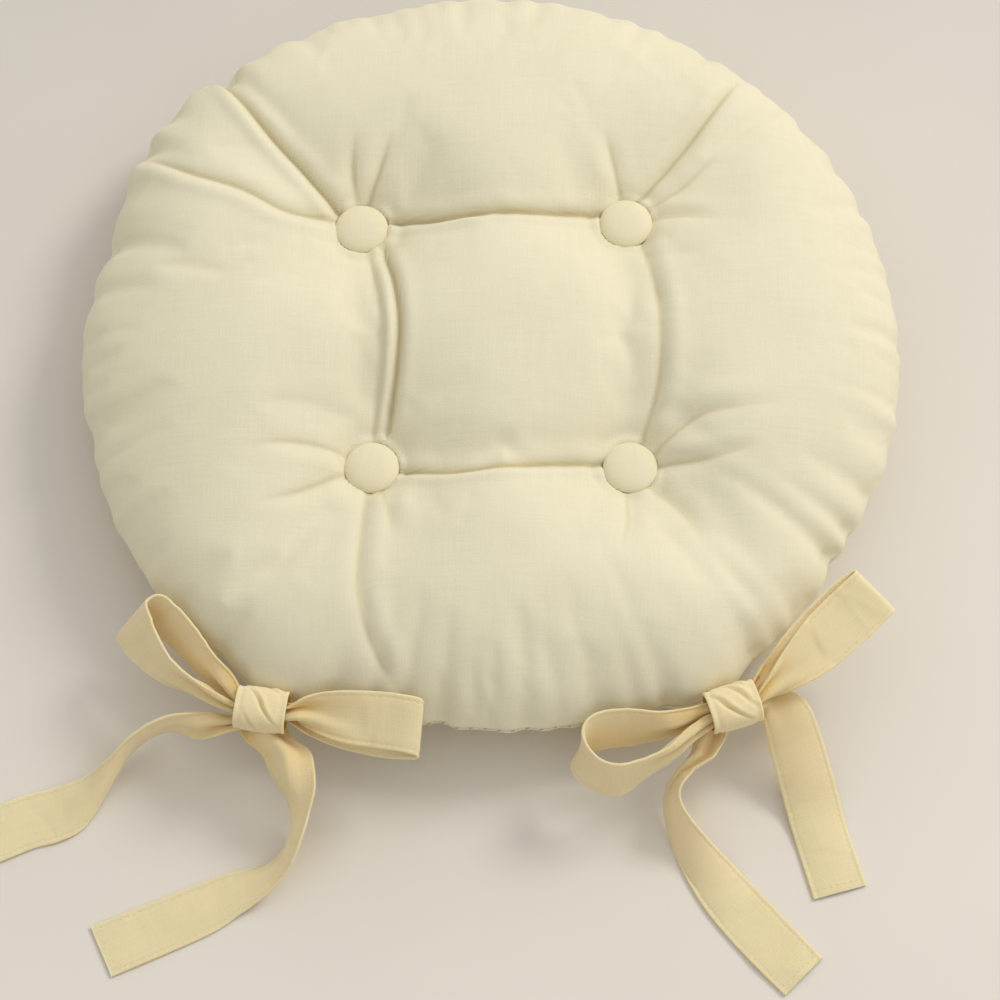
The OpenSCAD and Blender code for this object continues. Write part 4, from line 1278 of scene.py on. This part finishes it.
for side in KNOTS:
    turn = np.arange(KNOT_AROUND) * 2 * math.pi / KNOT_AROUND
    steps = np.concatenate([[-1.0, -0.99, -0.965], np.linspace(-0.93, 0.93, 41),
                            [0.965, 0.99, 1.0]])
    in_at_end = np.interp(np.abs(steps), END_AT, END_IN)
    along, around = np.meshgrid(steps * KNOT_LEN / 2, turn, indexing="ij")
    inset = in_at_end[:, None] + np.zeros_like(along)
    # painted shade along each crease of the knot, for the shade in its folds
    painted_shade = np.zeros_like(along)
    degrees = np.degrees(around)
    for where, place, slant, depth, width in KNOT_CREASES[side]:
        off = turn_from(degrees, where) / 40.0
        fold = along - place - slant * off
        inset += depth * np.exp(-off ** 2) * (bell(fold, 0.0, width)
                                              - 0.45 * bell(fold, 1.9 * width, 1.3 * width))
        painted_shade += 0.4 * depth / 0.0015 * np.exp(-off ** 2) * bell(fold, 0.0, 0.6 * width)
    inset += (0.0007 * (1 - (steps[:, None]) ** 2) * -0.6
              + 0.0005 * bell(np.abs(steps[:, None]), 0.8, 0.12))
    w, h = squarish(around, KNOT_W / 2, KNOT_H / 2)
    size = np.hypot(w, h)
    outer = knot_point(side, along, w * (1 - inset / size), h * (1 - inset / size))
    w, h = squarish(around, BORE_W / 2, BORE_H / 2)
    inner = knot_point(side, along, w, h)
    rows, cols = along.shape
    points = np.concatenate([outer.reshape(-1, 3), inner.reshape(-1, 3)])
    rings = [range(i * cols, (i + 1) * cols) for i in range(2 * rows)]
    outside, bore = rings[:rows], rings[rows:]
    faces = band(bore[0], outside[0]) + band(outside[-1], bore[-1])
    for i in range(rows - 1):
        faces += band(outside[i], outside[i + 1]) + band(bore[i + 1], bore[i])
    knot = mesh_piece(f"{side}_knot_cloth", points, faces, butter_cotton)
    flat = np.stack([around * KNOT_W / 2, along], axis=2).reshape(-1, 2)
    add_cloth_map(knot, np.concatenate([flat, flat + (0.2, 0.0)]))
    # the bore inside the knot is painted fully in shade
    write_painted_shade(knot, np.stack([painted_shade, np.ones_like(painted_shade)]))
    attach(knot, "pad")
    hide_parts(f"{side}_knot_wrap")

# --- Gathered ties inside the knots -----------------------------------------------------
# Where both ties of a side are sewn in the seam together they are gathered to half their
# width. From there they run up into the knot and fill it.
STEM_W, STEM_T, STEM_AROUND = 0.014, 0.0032, 56
stem_in = pad_r - 0.008
for side, (middle, _) in KNOTS.items():
    out = np.array([middle[0], middle[1]]) / math.hypot(middle[0], middle[1])
    knot_r = math.hypot(middle[0], middle[1])
    line = smooth_line([(stem_in, seam_z), (pad_r + 0.002, seam_z),
                        ((pad_r + knot_r) / 2, (seam_z + middle[2]) / 2),
                        (knot_r - 0.002, middle[2])], 8)
    turn = np.arange(STEM_AROUND) * 2 * math.pi / STEM_AROUND
    stem_w, stem_h = squarish(turn, STEM_W / 2, STEM_T / 2, 4.0)
    folds = 0.00045 * np.sin(stem_w / (STEM_W / 2) * 3.5 * math.pi)
    rows = []
    ahead = np.gradient(line, axis=0)
    ahead /= np.linalg.norm(ahead, axis=1, keepdims=True)
    for (reach, height), (run, climb) in zip(line, ahead):
        lift = stem_h + folds
        rows.append(np.column_stack([out[0] * (reach - climb * lift) - out[1] * stem_w,
                                     out[1] * (reach - climb * lift) + out[0] * stem_w,
                                     height + run * lift]))
    bar_w, bar_h = squarish(turn, BORE_W / 2 - 0.0003, BORE_H / 2 - 0.0003)
    bar = []
    for share in np.linspace(-1.0, 1.0, 15):
        shrink = math.sqrt(max(0.0, 1 - abs(share) ** 6)) * 0.85 + 0.15
        crumple = 1 - 0.06 * (1 + np.sin(9 * turn + 2 * share)) * abs(share) ** 0.5
        bar.append(knot_point(side, np.full_like(turn, share * (KNOT_LEN / 2 - 0.003)),
                              bar_w * shrink * crumple, bar_h * shrink * crumple))
    points, faces = [], []
    for tube in (rows, bar):
        rings = [range((len(points) + i) * STEM_AROUND, (len(points) + i + 1) * STEM_AROUND)
                 for i in range(len(tube))]
        points += tube
        for ring, following in zip(rings, rings[1:]):
            faces += band(ring, following)
        faces += [tuple(rings[0]), tuple(reversed(rings[-1]))]
    points = np.concatenate(points)
    gathered = mesh_piece(f"{side}_gathered_ties", points, faces, butter_cotton)
    add_cloth_map(gathered, points[:, :2])
    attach(gathered, "pad")
    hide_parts(f"{side}_knot_core")
    finish_node(f"{side}_tie_stitches", thread)
